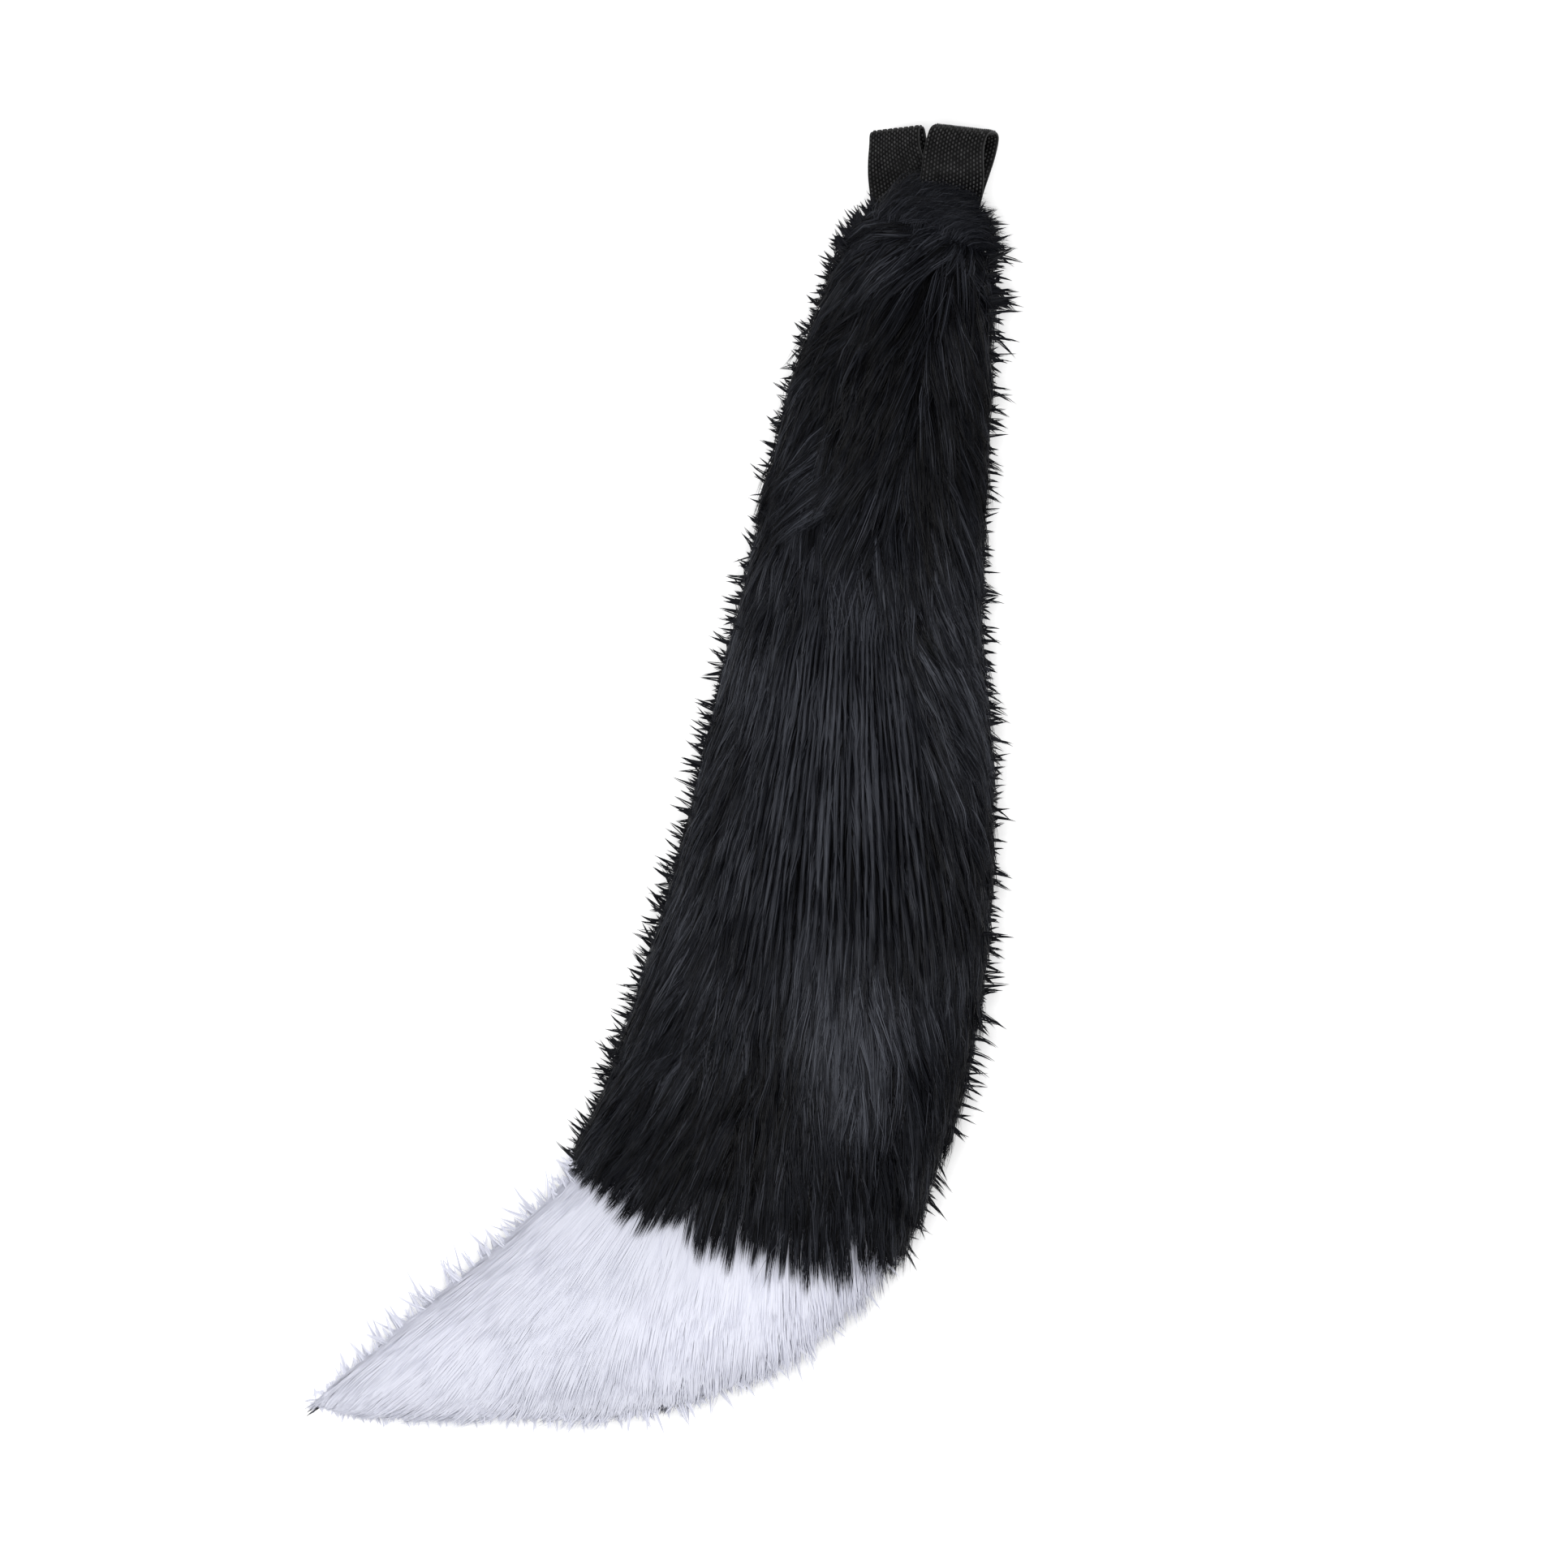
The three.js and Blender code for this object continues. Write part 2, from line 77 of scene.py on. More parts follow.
PILE_LENGTH = 0.036
STRAND_WIDTH = 0.00042
HEM_REACH = (0.016, 0.027, 0.035, 0.043, 0.038)  # of the black pile past the seam, from left to right
HEM_ROOTS = 0.011  # before the seam, the band whose pile reaches all of that
HEM_DEPTH = 0.034  # before the seam, the band whose pile ends past it
LOCK_PITCH = 0.013  # between the locks that the pile gathers into
CORD_PITCH = 0.0036  # between the thin cords that make up a lock
FLOOR_GAP = 0.0004  # least height of any strand
PRESSED_DEPTH = 0.0006  # of the layer of strands pressed on the floor
BACKING_INSET = 0.0006  # how far the backing lies under the roots

BLACK_STRANDS = 56000
WHITE_STRANDS = 19500
COLLAR_STRANDS = 2400
SPIKE_PITCH = 0.0021  # between the small pointed tufts along the tail's outline
SPIKE_STRANDS = 7
SPIKE_LENGTH = 0.0038  # of the shortest tufts
SPIKE_LONGER = 0.0085  # what the longest have more
SPIKE_NECK = 0.035  # from the neck seam, where the tufts stand closer
SPIKE_SEAM = -0.007  # the tufts are black up to this far past the seam
SPIKE_TURN = 0.13  # radians round the tail over which their roots spread
SPIKE_SWING = 18  # degrees by which they swing off the outward way
SPIKE_FOOT = 0.00085  # spread of a tuft's own roots
SPIKE_LEVEL = 0.0016  # of the roots over the fabric

# Stations from the neck seam to the tip. along and aside are shares of TAIL_DROP and TAIL_SWEEP, width and
# depth of TAIL_WIDTH and TAIL_DEPTH, lift of NECK_LIFT. The last five columns say which way the pile lies
# from the station's left edge to its right edge: degrees from straight down, positive to the left.
STATION_COLUMNS = ("along", "aside", "width", "depth", "lift",
                   "left", "mid_left", "middle", "mid_right", "right")
STATIONS = [
    (0.000, 0.000, 0.300, 0.27, 1.00, 84, 78, 74, 60, -70),
    (0.030, 0.010, 0.434, 0.40, 0.96, 60, 54, 48, 22, -50),
    (0.063, 0.028, 0.500, 0.49, 0.87, 52, 46, 38, 8, -36),
    (0.097, 0.039, 0.545, 0.55, 0.76, 48, 42, 34, 4, -28),
    (0.167, 0.069, 0.611, 0.62, 0.52, 44, 34, 27, 0, -24),
    (0.251, 0.089, 0.656, 0.68, 0.30, 30, 23, 12, -5, -22),
    (0.371, 0.118, 0.773, 0.79, 0.10, 24, 11, 0, -22, -46),
    (0.463, 0.132, 0.867, 0.88, 0.02, 30, 11, 0, -11, -34),
    (0.543, 0.151, 0.929, 0.94, 0.00, 27, 11, 0, -4, -24),
    (0.614, 0.173, 0.983, 0.98, 0.00, 30, 14, 2, -3, -20),
    (0.681, 0.207, 1.000, 1.00, 0.00, 35, 17, 4, -3, -18),
    (0.755, 0.256, 0.995, 0.99, 0.00, 46, 24, 6, -3, -24),
    (0.817, 0.325, 0.936, 0.94, 0.00, 60, 32, 9, -3, -30),
    (0.875, 0.426, 0.839, 0.86, 0.00, 54, 32, 14, 1, -22),
    (0.913, 0.557, 0.690, 0.74, 0.00, 60, 44, 28, 14, 0),
    (0.941, 0.701, 0.483, 0.57, 0.00, 64, 50, 38, 28, 15),
    (0.966, 0.832, 0.303, 0.40, 0.00, 64, 53, 46, 40, 30),
    (0.984, 0.937, 0.156, 0.24, 0.00, 60, 53, 48, 44, 40),
    (0.991, 0.995, 0.050, 0.10, 0.00, 52, 50, 50, 48, 46),
]
STATION = {name: np.array(values, float) for name, values in zip(STATION_COLUMNS, zip(*STATIONS))}
LAST = len(STATIONS) - 1
COMB_COLUMNS = STATION_COLUMNS[5:]

# Places where the pile stands up more or lies flatter, with painted sheen or painted shade. Each row has the
# middle, to the right of and above the neck seam, the radii along X and Y, by how many degrees black pile is
# raised, and what is added to the tone of any pile: painted sheen where positive, painted shade where
# negative.
LIE_AND_PAINTED_SHEEN = [
    (-0.010, -0.078, 0.070, 0.070, 2, -0.40),
    (-0.039, -0.175, 0.040, 0.075, -2, 0.19),
    (-0.033, -0.326, 0.019, 0.036, -4, 0.44),
    (-0.004, -0.225, 0.006, 0.050, 2, -0.20),
    (-0.085, -0.370, 0.050, 0.036, 4, -0.36),
    (0.013, -0.334, 0.012, 0.028, 4, -0.26),
    (-0.013, -0.388, 0.030, 0.026, 3, -0.26),
    (-0.076, -0.312, 0.020, 0.028, 2, -0.14),
    (0.010, -0.170, 0.014, 0.036, -2, 0.22),
    (0.012, -0.240, 0.012, 0.034, 2, -0.14),
    (-0.020, -0.278, 0.040, 0.026, 1, -0.13),
    (-0.062, -0.434, 0.046, 0.024, 0, 0.62),
    (-0.200, -0.440, 0.060, 0.040, 0, 0.14),
]

# Along the tail's two edges: how long the small tufts are, against their usual length, and what is added to
# the share of an outward course by which the pile leaves the fabric
EDGE_COLUMNS = ("station", "right_tufts", "left_tufts", "right_lift", "left_lift")
EDGES = [
    (0, 1.15, 0.75, 0, -0.12),
    (3, 1.2, 0.65, 0, -0.12),
    (5, 0.9, 0.9, 0, 0),
    (9, 1.1, 1, 0, 0),
    (10.6, 1.2, 1, 0.05, 0),
    (11.2, 1.3, 1, 0.25, 0),
    (12, 1.4, 1, 0.36, 0),
    (12.6, 1.3, 1, 0.28, 0),
    (13.4, 1, 1, 0, 0.1),
    (14.4, 0.6, 1.1, 0, 0.2),
    (15.5, 0.5, 1.35, 0, 0.25),
    (16.5, 0.45, 1.1, 0, 0.2),
    (17.3, 0.35, 0.5, 0, 0.1),
    (18, 0.3, 0.3, 0, 0),
]
EDGE = {name: np.array(values, float) for name, values in zip(EDGE_COLUMNS, zip(*EDGES))}

# Where the comb has drawn the pile into long even grooves: a fan of lines that widens down the tail
GROOVE_PITCH = 0.0018
GROOVE_MIDDLE = -0.029
GROOVE_TOP = -0.162
GROOVE_FAN = 6.8  # how fast the lines part, per metre
GROOVE_REACH = (-0.135, -0.180, -0.282, -0.312)  # Y: fades in between the first two, out between the last two
GROOVE_SIDES = (-0.035, -0.017, 0.014, 0.024)  # the same across the fan, where it starts
GROOVE_WAVER = 0.3  # of the pitch
GROOVE_SQUEEZE = 0.26  # share by which the strands close up in each line
GROOVE_DEPTH = 0.0019
GROOVE_ROLL = 0.8  # radians that the strands at a groove's edges are turned
GROOVE_WEIGHT = 0.8  # of the lines' tone, with painted shade at their edges, against that of the strands

# One leg of a belt loop from the neck seam to the fold, as shares of LOOP_RISE and LOOP_GAPE
LOOP_PROFILE = [(0, 0), (0.22, 0.16), (0.42, 0.62), (0.68, 0.95), (0.91, 0.9), (0.99, 0.45)]
# Each loop's place in the neck, aside of and above its middle, its lean in degrees, slant, twist in degrees,
# rise as it leaves the neck, share of LOOP_GAPE, and how much of that is lost at the fold
LOOPS = {
    "belt_loop_left": (-0.0101, 0.0018, -4.5, 0, 40, -0.009, 0.45, 0.8),
    "belt_loop_right": (0.0070, 0.0041, 8, 0.09, 27, 0.009, 1.0, 0),
}

rng = np.random.default_rng(11)
UP = np.array([0.0, 0.0, 1.0])


def spline(a, b, c, d, t):
    """A smooth curve from b to c, as t goes from 0 to 1, that fits their neighbours a and d."""
    return b + 0.5 * t * (c - a + t * (2 * a - 5 * b + 4 * c - d + t * (3 * b - a - 3 * c + d)))


def column(name, station):
    """A smooth curve through one column of STATIONS, at fractional stations."""
    values = STATION[name]
    first = np.clip(np.floor(station), 0, LAST - 1).astype(int)
    return spline(*(values[np.clip(first + k, 0, LAST)] for k in (-1, 0, 1, 2)), station - first)


def smooth(t):
    t = np.clip(t, 0, 1)
    return t * t * (3 - 2 * t)


def unit(v):
    return v / np.maximum(np.linalg.norm(v, axis=-1, keepdims=True), 1e-12)


def lengths_along(points):
    """The length of a line of points up to each of them."""
    return np.concatenate([[0], np.cumsum(np.linalg.norm(np.diff(points, axis=0), axis=1))])


def heading(angle):
    """The direction on the floor at an angle from straight down, positive to the left."""
    return np.stack([-np.sin(angle), -np.cos(angle), np.zeros_like(angle)], -1)


def plan_centre(station):
    x = -TAIL_SWEEP * column("aside", station)
    y = -TAIL_DROP * column("along", station)
    return np.stack([x, y, np.zeros_like(x)], -1)


def section_at(station):
    """The tail's section: its centre, its sideways direction, half its width, and its heights over and under
    the centre."""
    step = 0.01
    ahead = unit(plan_centre(np.minimum(station + step, LAST)) - plan_centre(np.maximum(station - step, 0)))
    depth = TAIL_DEPTH * column("depth", station)
    below = BELOW_SEAM * depth
    centre = plan_centre(station)
    centre[..., 2] = below - PILE_RELIEF - FLOOR_PRESS + NECK_LIFT * column("lift", station)
    aside = np.stack([-ahead[..., 1], ahead[..., 0], np.zeros_like(depth)], -1)
    return centre, aside, TAIL_WIDTH * column("width", station) / 2, depth - below, below


def skin_point(station, turn, inset):
    """A point of the tail's outside, moved in by inset: turn runs from the right-hand side over the top."""
    centre, aside, half, above, below = section_at(station)
    c, s = np.cos(turn), np.sin(turn)
    power = 2 / np.where(s >= 0, CROWN_ROUND, BELLY_ROUND)
    across = np.sign(c) * np.abs(c) ** power
    rise = np.sign(s) * np.abs(s) ** power
    tall = np.maximum(np.where(s >= 0, above, below) - inset, LEAST_HALF)
    wide = np.maximum(half - inset, LEAST_HALF)
    return centre + aside * (wide * across)[..., None] + UP * (tall * rise)[..., None]


def stuffing_corner():
    """The highest x and y of the filling's solid in the tail's own coordinates."""
    first = station_at(NECK_WALL)
    stations = station_at(arc_at(first) + CLEARANCE) + np.arange(LAST - 2)
    turns = np.linspace(0, 2 * math.pi, 20, endpoint=False)
    s, t = np.meshgrid(stations, turns)
    points = skin_point(s, t, PILE_RELIEF + FUR_WALL + FILLING_CLEARANCE)
    return points.reshape(-1, 3).max(0)


FINE = np.linspace(0, LAST, 2001)
ARC = lengths_along(plan_centre(FINE))


def station_at(length):
    return np.interp(length, ARC, FINE)


def arc_at(station):
    return np.interp(station, FINE, ARC)


corner = stuffing_corner()
filling_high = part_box("stuffing")[1]
NECK = np.array([filling_high.x - corner[0], filling_high.y - corner[1], 0])


def surface(station, turn, inset):
    """Point, both tangents and outward normal of the fabric."""
    step = 0.02
    point = skin_point(station, turn, inset)
    ds = (skin_point(station + step, turn, inset) - skin_point(station - step, turn, inset)) / (2 * step)
    dt = (skin_point(station, turn + step, inset) - skin_point(station, turn - step, inset)) / (2 * step)
    return point, ds, dt, unit(np.cross(dt, ds))


def groove_at(points):
    """How strongly the pile is grooved at each point, the point's place across the fan of grooves, and how
    far the fan has opened there."""
    x, y = points[..., 0], points[..., 1]
    spread = 1 + GROOVE_FAN * (GROOVE_TOP - y)
    place = (x - GROOVE_MIDDLE) / spread
    place = place + GROOVE_WAVER * GROOVE_PITCH * ripple(points * np.array([1.0, 0.12, 0.0]), 0.007, 5)
    top, full_top, full_end, end = GROOVE_REACH
    left, full_left, full_right, right = GROOVE_SIDES
    strength = smooth((top - y) / (top - full_top)) * smooth((y - end) / (full_end - end))
    strength = strength * smooth((place - left) / (full_left - left))
    strength = strength * smooth((right - place) / (right - full_right))
    return strength, place, spread


def lie_and_painted_sheen_at(points):
    """What the table of places says of each point: by what angle black pile is raised, in radians, and the
    painted sheen or painted shade that is added to the tone."""
    raised = np.zeros(points.shape[:-1])
    painted_sheen_and_shade = np.zeros(points.shape[:-1])
    for x, y, wide, tall, degrees, tone in LIE_AND_PAINTED_SHEEN:
        away = ((points[..., 0] - x) / wide) ** 2 + ((points[..., 1] - y) / tall) ** 2
        near = np.exp(-away)
        raised += math.radians(degrees) * near
        painted_sheen_and_shade += tone * near
    return raised, painted_sheen_and_shade


def at_edge(what, station, turn):
    """What EDGES says of the nearer edge."""
    right, left = (np.interp(station, EDGE["station"], EDGE[f"{side}_{what}"]) for side in ("right", "left"))
    return np.where(np.cos(turn) > 0, right, left)


def comb_angle(station, turn, point):
    """Which way the pile lies, in radians from straight down, positive to the left, and how free of grooves
    it is."""
    place = (np.cos(turn) + 1) * (len(COMB_COLUMNS) - 1) / 2
    first = np.clip(np.floor(place), 0, len(COMB_COLUMNS) - 2).astype(int)
    share = place - first
    table = np.stack([column(name, station) for name in COMB_COLUMNS], -1)
    low = np.take_along_axis(table, first[..., None], -1)[..., 0]
    high = np.take_along_axis(table, first[..., None] + 1, -1)[..., 0]
    combed = np.radians(low + (high - low) * share)
    grooved, across, _ = groove_at(point)
    grooved = grooved * (np.sin(turn) > 0)
    return combed * (1 - grooved) + np.arctan(-across * GROOVE_FAN) * grooved, 1 - grooved


RIPPLE_WAVES = 7


def ripple(points, size, seed):
    """Smooth noise, mostly between -1 and 1, with features of about the given size."""
    waves = np.random.default_rng(seed)
    total = np.zeros(points.shape[:-1])
    for _ in range(RIPPLE_WAVES):
        direction = unit(waves.normal(size=3))
        wave = 2 * math.pi / (size * waves.uniform(0.7, 1.6))
        total += np.sin(points @ direction * wave + waves.uniform(0, 6.3))
    return total / 4


SHARES = np.array([0, 0.36, 0.72, 1.0])  # of a strand's length, at each of its points
TIP_MARGIN = 0.15  # stations before the tip's end, where strands run straight on
MOST_TURN = 0.8  # radians round the tail in one stride


def walk(station, turn, length, wander, lift_share):
    """Follows the pile from each root. Returns points on the fabric, normals and the height that an outward
    course has gained, at each of SHARES."""
    s, t = station.copy(), turn.copy()
    point, ds, dt, normal = surface(s, t, PILE_RELIEF)
    lift = np.zeros(len(s))
    points, normals, lifts = [point], [normal], [lift]
    off = np.zeros(len(s), bool)
    for before, after in zip(SHARES[:-1], SHARES[1:]):
        angle, loose = comb_angle(s, t, point)
        angle = angle + wander * loose
        way = heading(angle)
        out = np.einsum("ij,ij->i", way, normal)
        flat = way - normal * out[:, None]
        stride = (after - before) * length
        ss, st, tt = (np.einsum("ij,ij->i", a, b) for a, b in ((ds, ds), (ds, dt), (dt, dt)))
        sw, tw = (np.einsum("ij,ij->i", a, flat) for a in (ds, dt))
        det = np.maximum(ss * tt - st * st, 1e-12)
        new_s = s + (sw * tt - tw * st) / det * stride
        new_t = t + np.clip((tw * ss - sw * st) / det * stride, -MOST_TURN, MOST_TURN)
        off = off | (new_s > LAST - TIP_MARGIN) | (new_s < 0)
        s = np.where(off, s, new_s)
        t = np.where(off, t, new_t)
        ahead_point = point + unit(flat) * stride[:, None]
        point, ds, dt, normal = surface(s, t, PILE_RELIEF)
        point = np.where(off[:, None], ahead_point, point)
        lift = lift + np.maximum(out, 0) * lift_share * stride
        points.append(point)
        normals.append(normal)
        lifts.append(lift)
    return np.stack(points, 1), np.stack(normals, 1), np.stack(lifts, 1)


def rows_of_roots(pitch, jitter):
    """Roots in staggered rows over the whole tail, pitch apart and moved by up to jitter pitches."""
    stations, turns = [], []
    around = np.linspace(0, 2 * math.pi, 181)
    total = ARC[-1]
    for row, length in enumerate(np.arange(pitch / 2, total, pitch)):
        station = float(station_at(length))
        girth = lengths_along(skin_point(np.full(len(around), station), around, PILE_RELIEF))
        count = max(int(round(girth[-1] / pitch)), 4)
        places = np.arange(count) + 0.5 * (row % 2) + rng.uniform(-jitter, jitter, count)
        places = places * girth[-1] / count
        turns.append(np.interp(np.mod(places, girth[-1]), girth, around))
        stations.append(station_at(np.clip(length + rng.uniform(-jitter, jitter, count) * pitch, 0, total)))
    return np.concatenate(stations), np.concatenate(turns)


SEAM_NORMAL = np.array([math.sin(SEAM_SLANT), math.cos(SEAM_SLANT), 0])
seam_station = float(np.interp(SEAM_DROP, -plan_centre(FINE)[:, 1], FINE))
seam_offset = float(plan_centre(np.array([seam_station]))[0] @ SEAM_NORMAL)


def before_seam(points):
    """Distance before the seam between black and white: positive in the black."""
    return points @ SEAM_NORMAL - seam_offset


def nearest(points, others):
    """Index of the nearest of others for each of points."""
    found = np.empty(len(points), int)
    for i in range(0, len(points), 2000):
        part = points[i:i + 2000, None, :] - others[None, :, :]
        found[i:i + 2000] = np.argmin(np.einsum("ijk,ijk->ij", part, part), 1)
    return found


# The pile gathers into locks, and each lock into thin cords. First the locks.
LOCK_JITTER = 0.32  # of the pitch
LOCK_LENGTHS = (0.9, 1.15)  # of PILE_LENGTH
LOCK_LIFT = 0.14  # most share of an outward course by which they leave the fabric
LOCK_WANDER = 0.11  # radians off the way the comb went
NECK_WANDER = 0.09  # added to it near the neck
NECK_END = 0.17  # from the neck seam, where that fades out
NECK_FADE = 0.05
DRIFT = 0.12  # radians of slow change from place to place
DRIFT_SIZE = 0.045

lock_s, lock_t = rows_of_roots(LOCK_PITCH, LOCK_JITTER)
lock_root = skin_point(lock_s, lock_t, PILE_RELIEF)
near_neck = smooth((lock_root[:, 1] + NECK_END) / NECK_FADE)
lock_wander = (LOCK_WANDER + NECK_WANDER * near_neck) * rng.normal(size=len(lock_s))
lock_wander = lock_wander + DRIFT * ripple(lock_root, DRIFT_SIZE, 3)
lock_length = PILE_LENGTH * rng.uniform(*LOCK_LENGTHS, len(lock_s))
lock_lift = rng.uniform(0.0, LOCK_LIFT, len(lock_s))
lock_rise = rng.uniform(0, 1, len(lock_s))
lock_tone = rng.uniform(0, 1, len(lock_s))
lock_path, _, _ = walk(lock_s, lock_t, lock_length, lock_wander, lock_lift)

# Then the cords, each in the lock whose root is nearest. They lie calmer in the white and near the seam.
CORD_JITTER = 0.38  # of the pitch
CORD_LENGTHS = (0.82, 1.08)  # of that of the lock
CORD_WANDER = 0.07  # radians off the way of the lock
CORD_BOW = (-0.0008, 0.0016)  # how far the middle bows away from the fabric
CORD_SWAY = 0.0007  # and to the side
WHITE_CALM = 0.3
SEAM_CALM = 0.65
SEAM_BAND = 0.05  # to either side of the seam
TIP_LENGTH = 0.007  # of the pile at the end of the tip
HEM_RAGGED = (0.66, 1.12)  # shares of HEM_REACH that the cords have
HEM_BAND = 0.04  # to either side of the seam, where the cords keep apart
GATHER = 0.5  # how far the cords' ends have moved to their lock's
LOCK_OPEN = 0.55  # share of their distance that they keep there
BUNCHES = 3  # of strands, in each cord

cord_s, cord_t = rows_of_roots(CORD_PITCH, CORD_JITTER)
cord_root = skin_point(cord_s, cord_t, PILE_RELIEF)
cord_lock = nearest(cord_root, lock_root)
cord_before = before_seam(cord_root)
is_black = cord_before > 0
cord_calm = np.where(is_black, 1.0, WHITE_CALM)
cord_wander = (lock_wander[cord_lock] + CORD_WANDER * rng.normal(size=len(cord_s))) * cord_calm
cord_wander *= 1 - SEAM_CALM * smooth(1.4 - np.abs(cord_before) / SEAM_BAND)

# Shorter at the neck and the tip, and cut off at the hem, which is shorter underneath
cord_length = lock_length[cord_lock] * rng.uniform(*CORD_LENGTHS, len(cord_s))
cord_length *= 0.7 + 0.3 * smooth(cord_s / 4)
cord_length = np.minimum(cord_length, TIP_LENGTH + 0.8 * (ARC[-1] - arc_at(cord_s)))
hem_place = (np.cos(cord_t) + 1) * (len(HEM_REACH) - 1) / 2
hem = np.interp(hem_place, np.arange(len(HEM_REACH)), HEM_REACH) * rng.uniform(*HEM_RAGGED, len(cord_s))
hem = np.where(np.sin(cord_t) < -0.05, 0.5 * hem, hem)
hem_length = cord_before + hem
cord_length = np.where(is_black, np.minimum(cord_length, hem_length), cord_length)
cord_length = np.where(is_black & (cord_before < HEM_ROOTS), hem_length, cord_length)

cord_lift = lock_lift[cord_lock] * rng.uniform(0.6, 1.4, len(cord_s))
cord_lift = np.maximum(cord_lift + at_edge("lift", cord_s, cord_t) * np.cos(cord_t) ** 4, 0)
cord_rise = 0.6 * lock_rise[cord_lock] + 0.4 * rng.uniform(0, 1, len(cord_s))
cord_tone = 0.3 * lock_tone[cord_lock] + 0.7 * rng.uniform(0, 1, len(cord_s))
bunch_tone = rng.uniform(0, 1, (len(cord_s), BUNCHES))
bunch_rise = rng.uniform(-1, 1, (len(cord_s), BUNCHES))
cord_path, _, _ = walk(cord_s, cord_t, cord_length, cord_wander, cord_lift)
cord_bow = rng.uniform(*CORD_BOW, len(cord_s)) * np.where(is_black, 1.0, 0.1)
cord_sway = rng.normal(0, CORD_SWAY, len(cord_s)) * cord_calm
hem_calm = 1 - 0.75 * smooth(1 - np.abs(cord_before) / HEM_BAND)
groove_calm = 1 - groove_at(cord_root)[0] * (np.sin(cord_t) > 0)
gather = GATHER * SHARES[None, :, None] ** 1.2 * (cord_calm * hem_calm * groove_calm)[:, None, None]
offset = (cord_root - lock_root[cord_lock])[:, None, :]
cord_path = cord_path * (1 - gather) + (lock_path[cord_lock] + LOCK_OPEN * offset) * gather

# How densely each cord is filled: thinner underneath and thicker at the hem
HEM_DENSER = 0.9
seen = np.where(is_black, np.clip(0.5 + 1.1 * np.sin(cord_t), 0.16, 1),
                np.clip(0.85 + 1.1 * np.sin(cord_t), 0.3, 1))
in_hem = smooth((cord_before + 0.002) / 0.004) * smooth((HEM_DEPTH - cord_before) / 0.015)
density = seen * (1 + HEM_DENSER * in_hem)

LEAST_SCALE = 1e-4  # of the fabric's tangents
LEAST_RISE = 0.0004
STRAY_SHARE = 0.05
STRAY_RISE = 0.0008  # how much higher a stray strand ends
TIP_SPREAD = 0.0005  # by which the tips of strands differ in height
CORD_ROUND = 0.0008  # how much lower a cord's outer strands end, and a bunch's
BUNCH_ROUND = 0.0005
BUNCH_RISE = 0.0006  # how much higher or lower whole bunches end
STRAND_BOW = 0.0004  # what single strands add to their cord's
STRAND_SWAY = 0.0003
SEAM_RISE = 0.0016  # how much higher the black strands end at the seam, over the white
SEAM_SINK = (0.0010, 0.0008)  # how much lower the white ones end there, and start
SEAM_REACH = 0.02  # from the seam, where that fades out
WHITE_WIDER = 1.3  # width of the white strands against the black ones


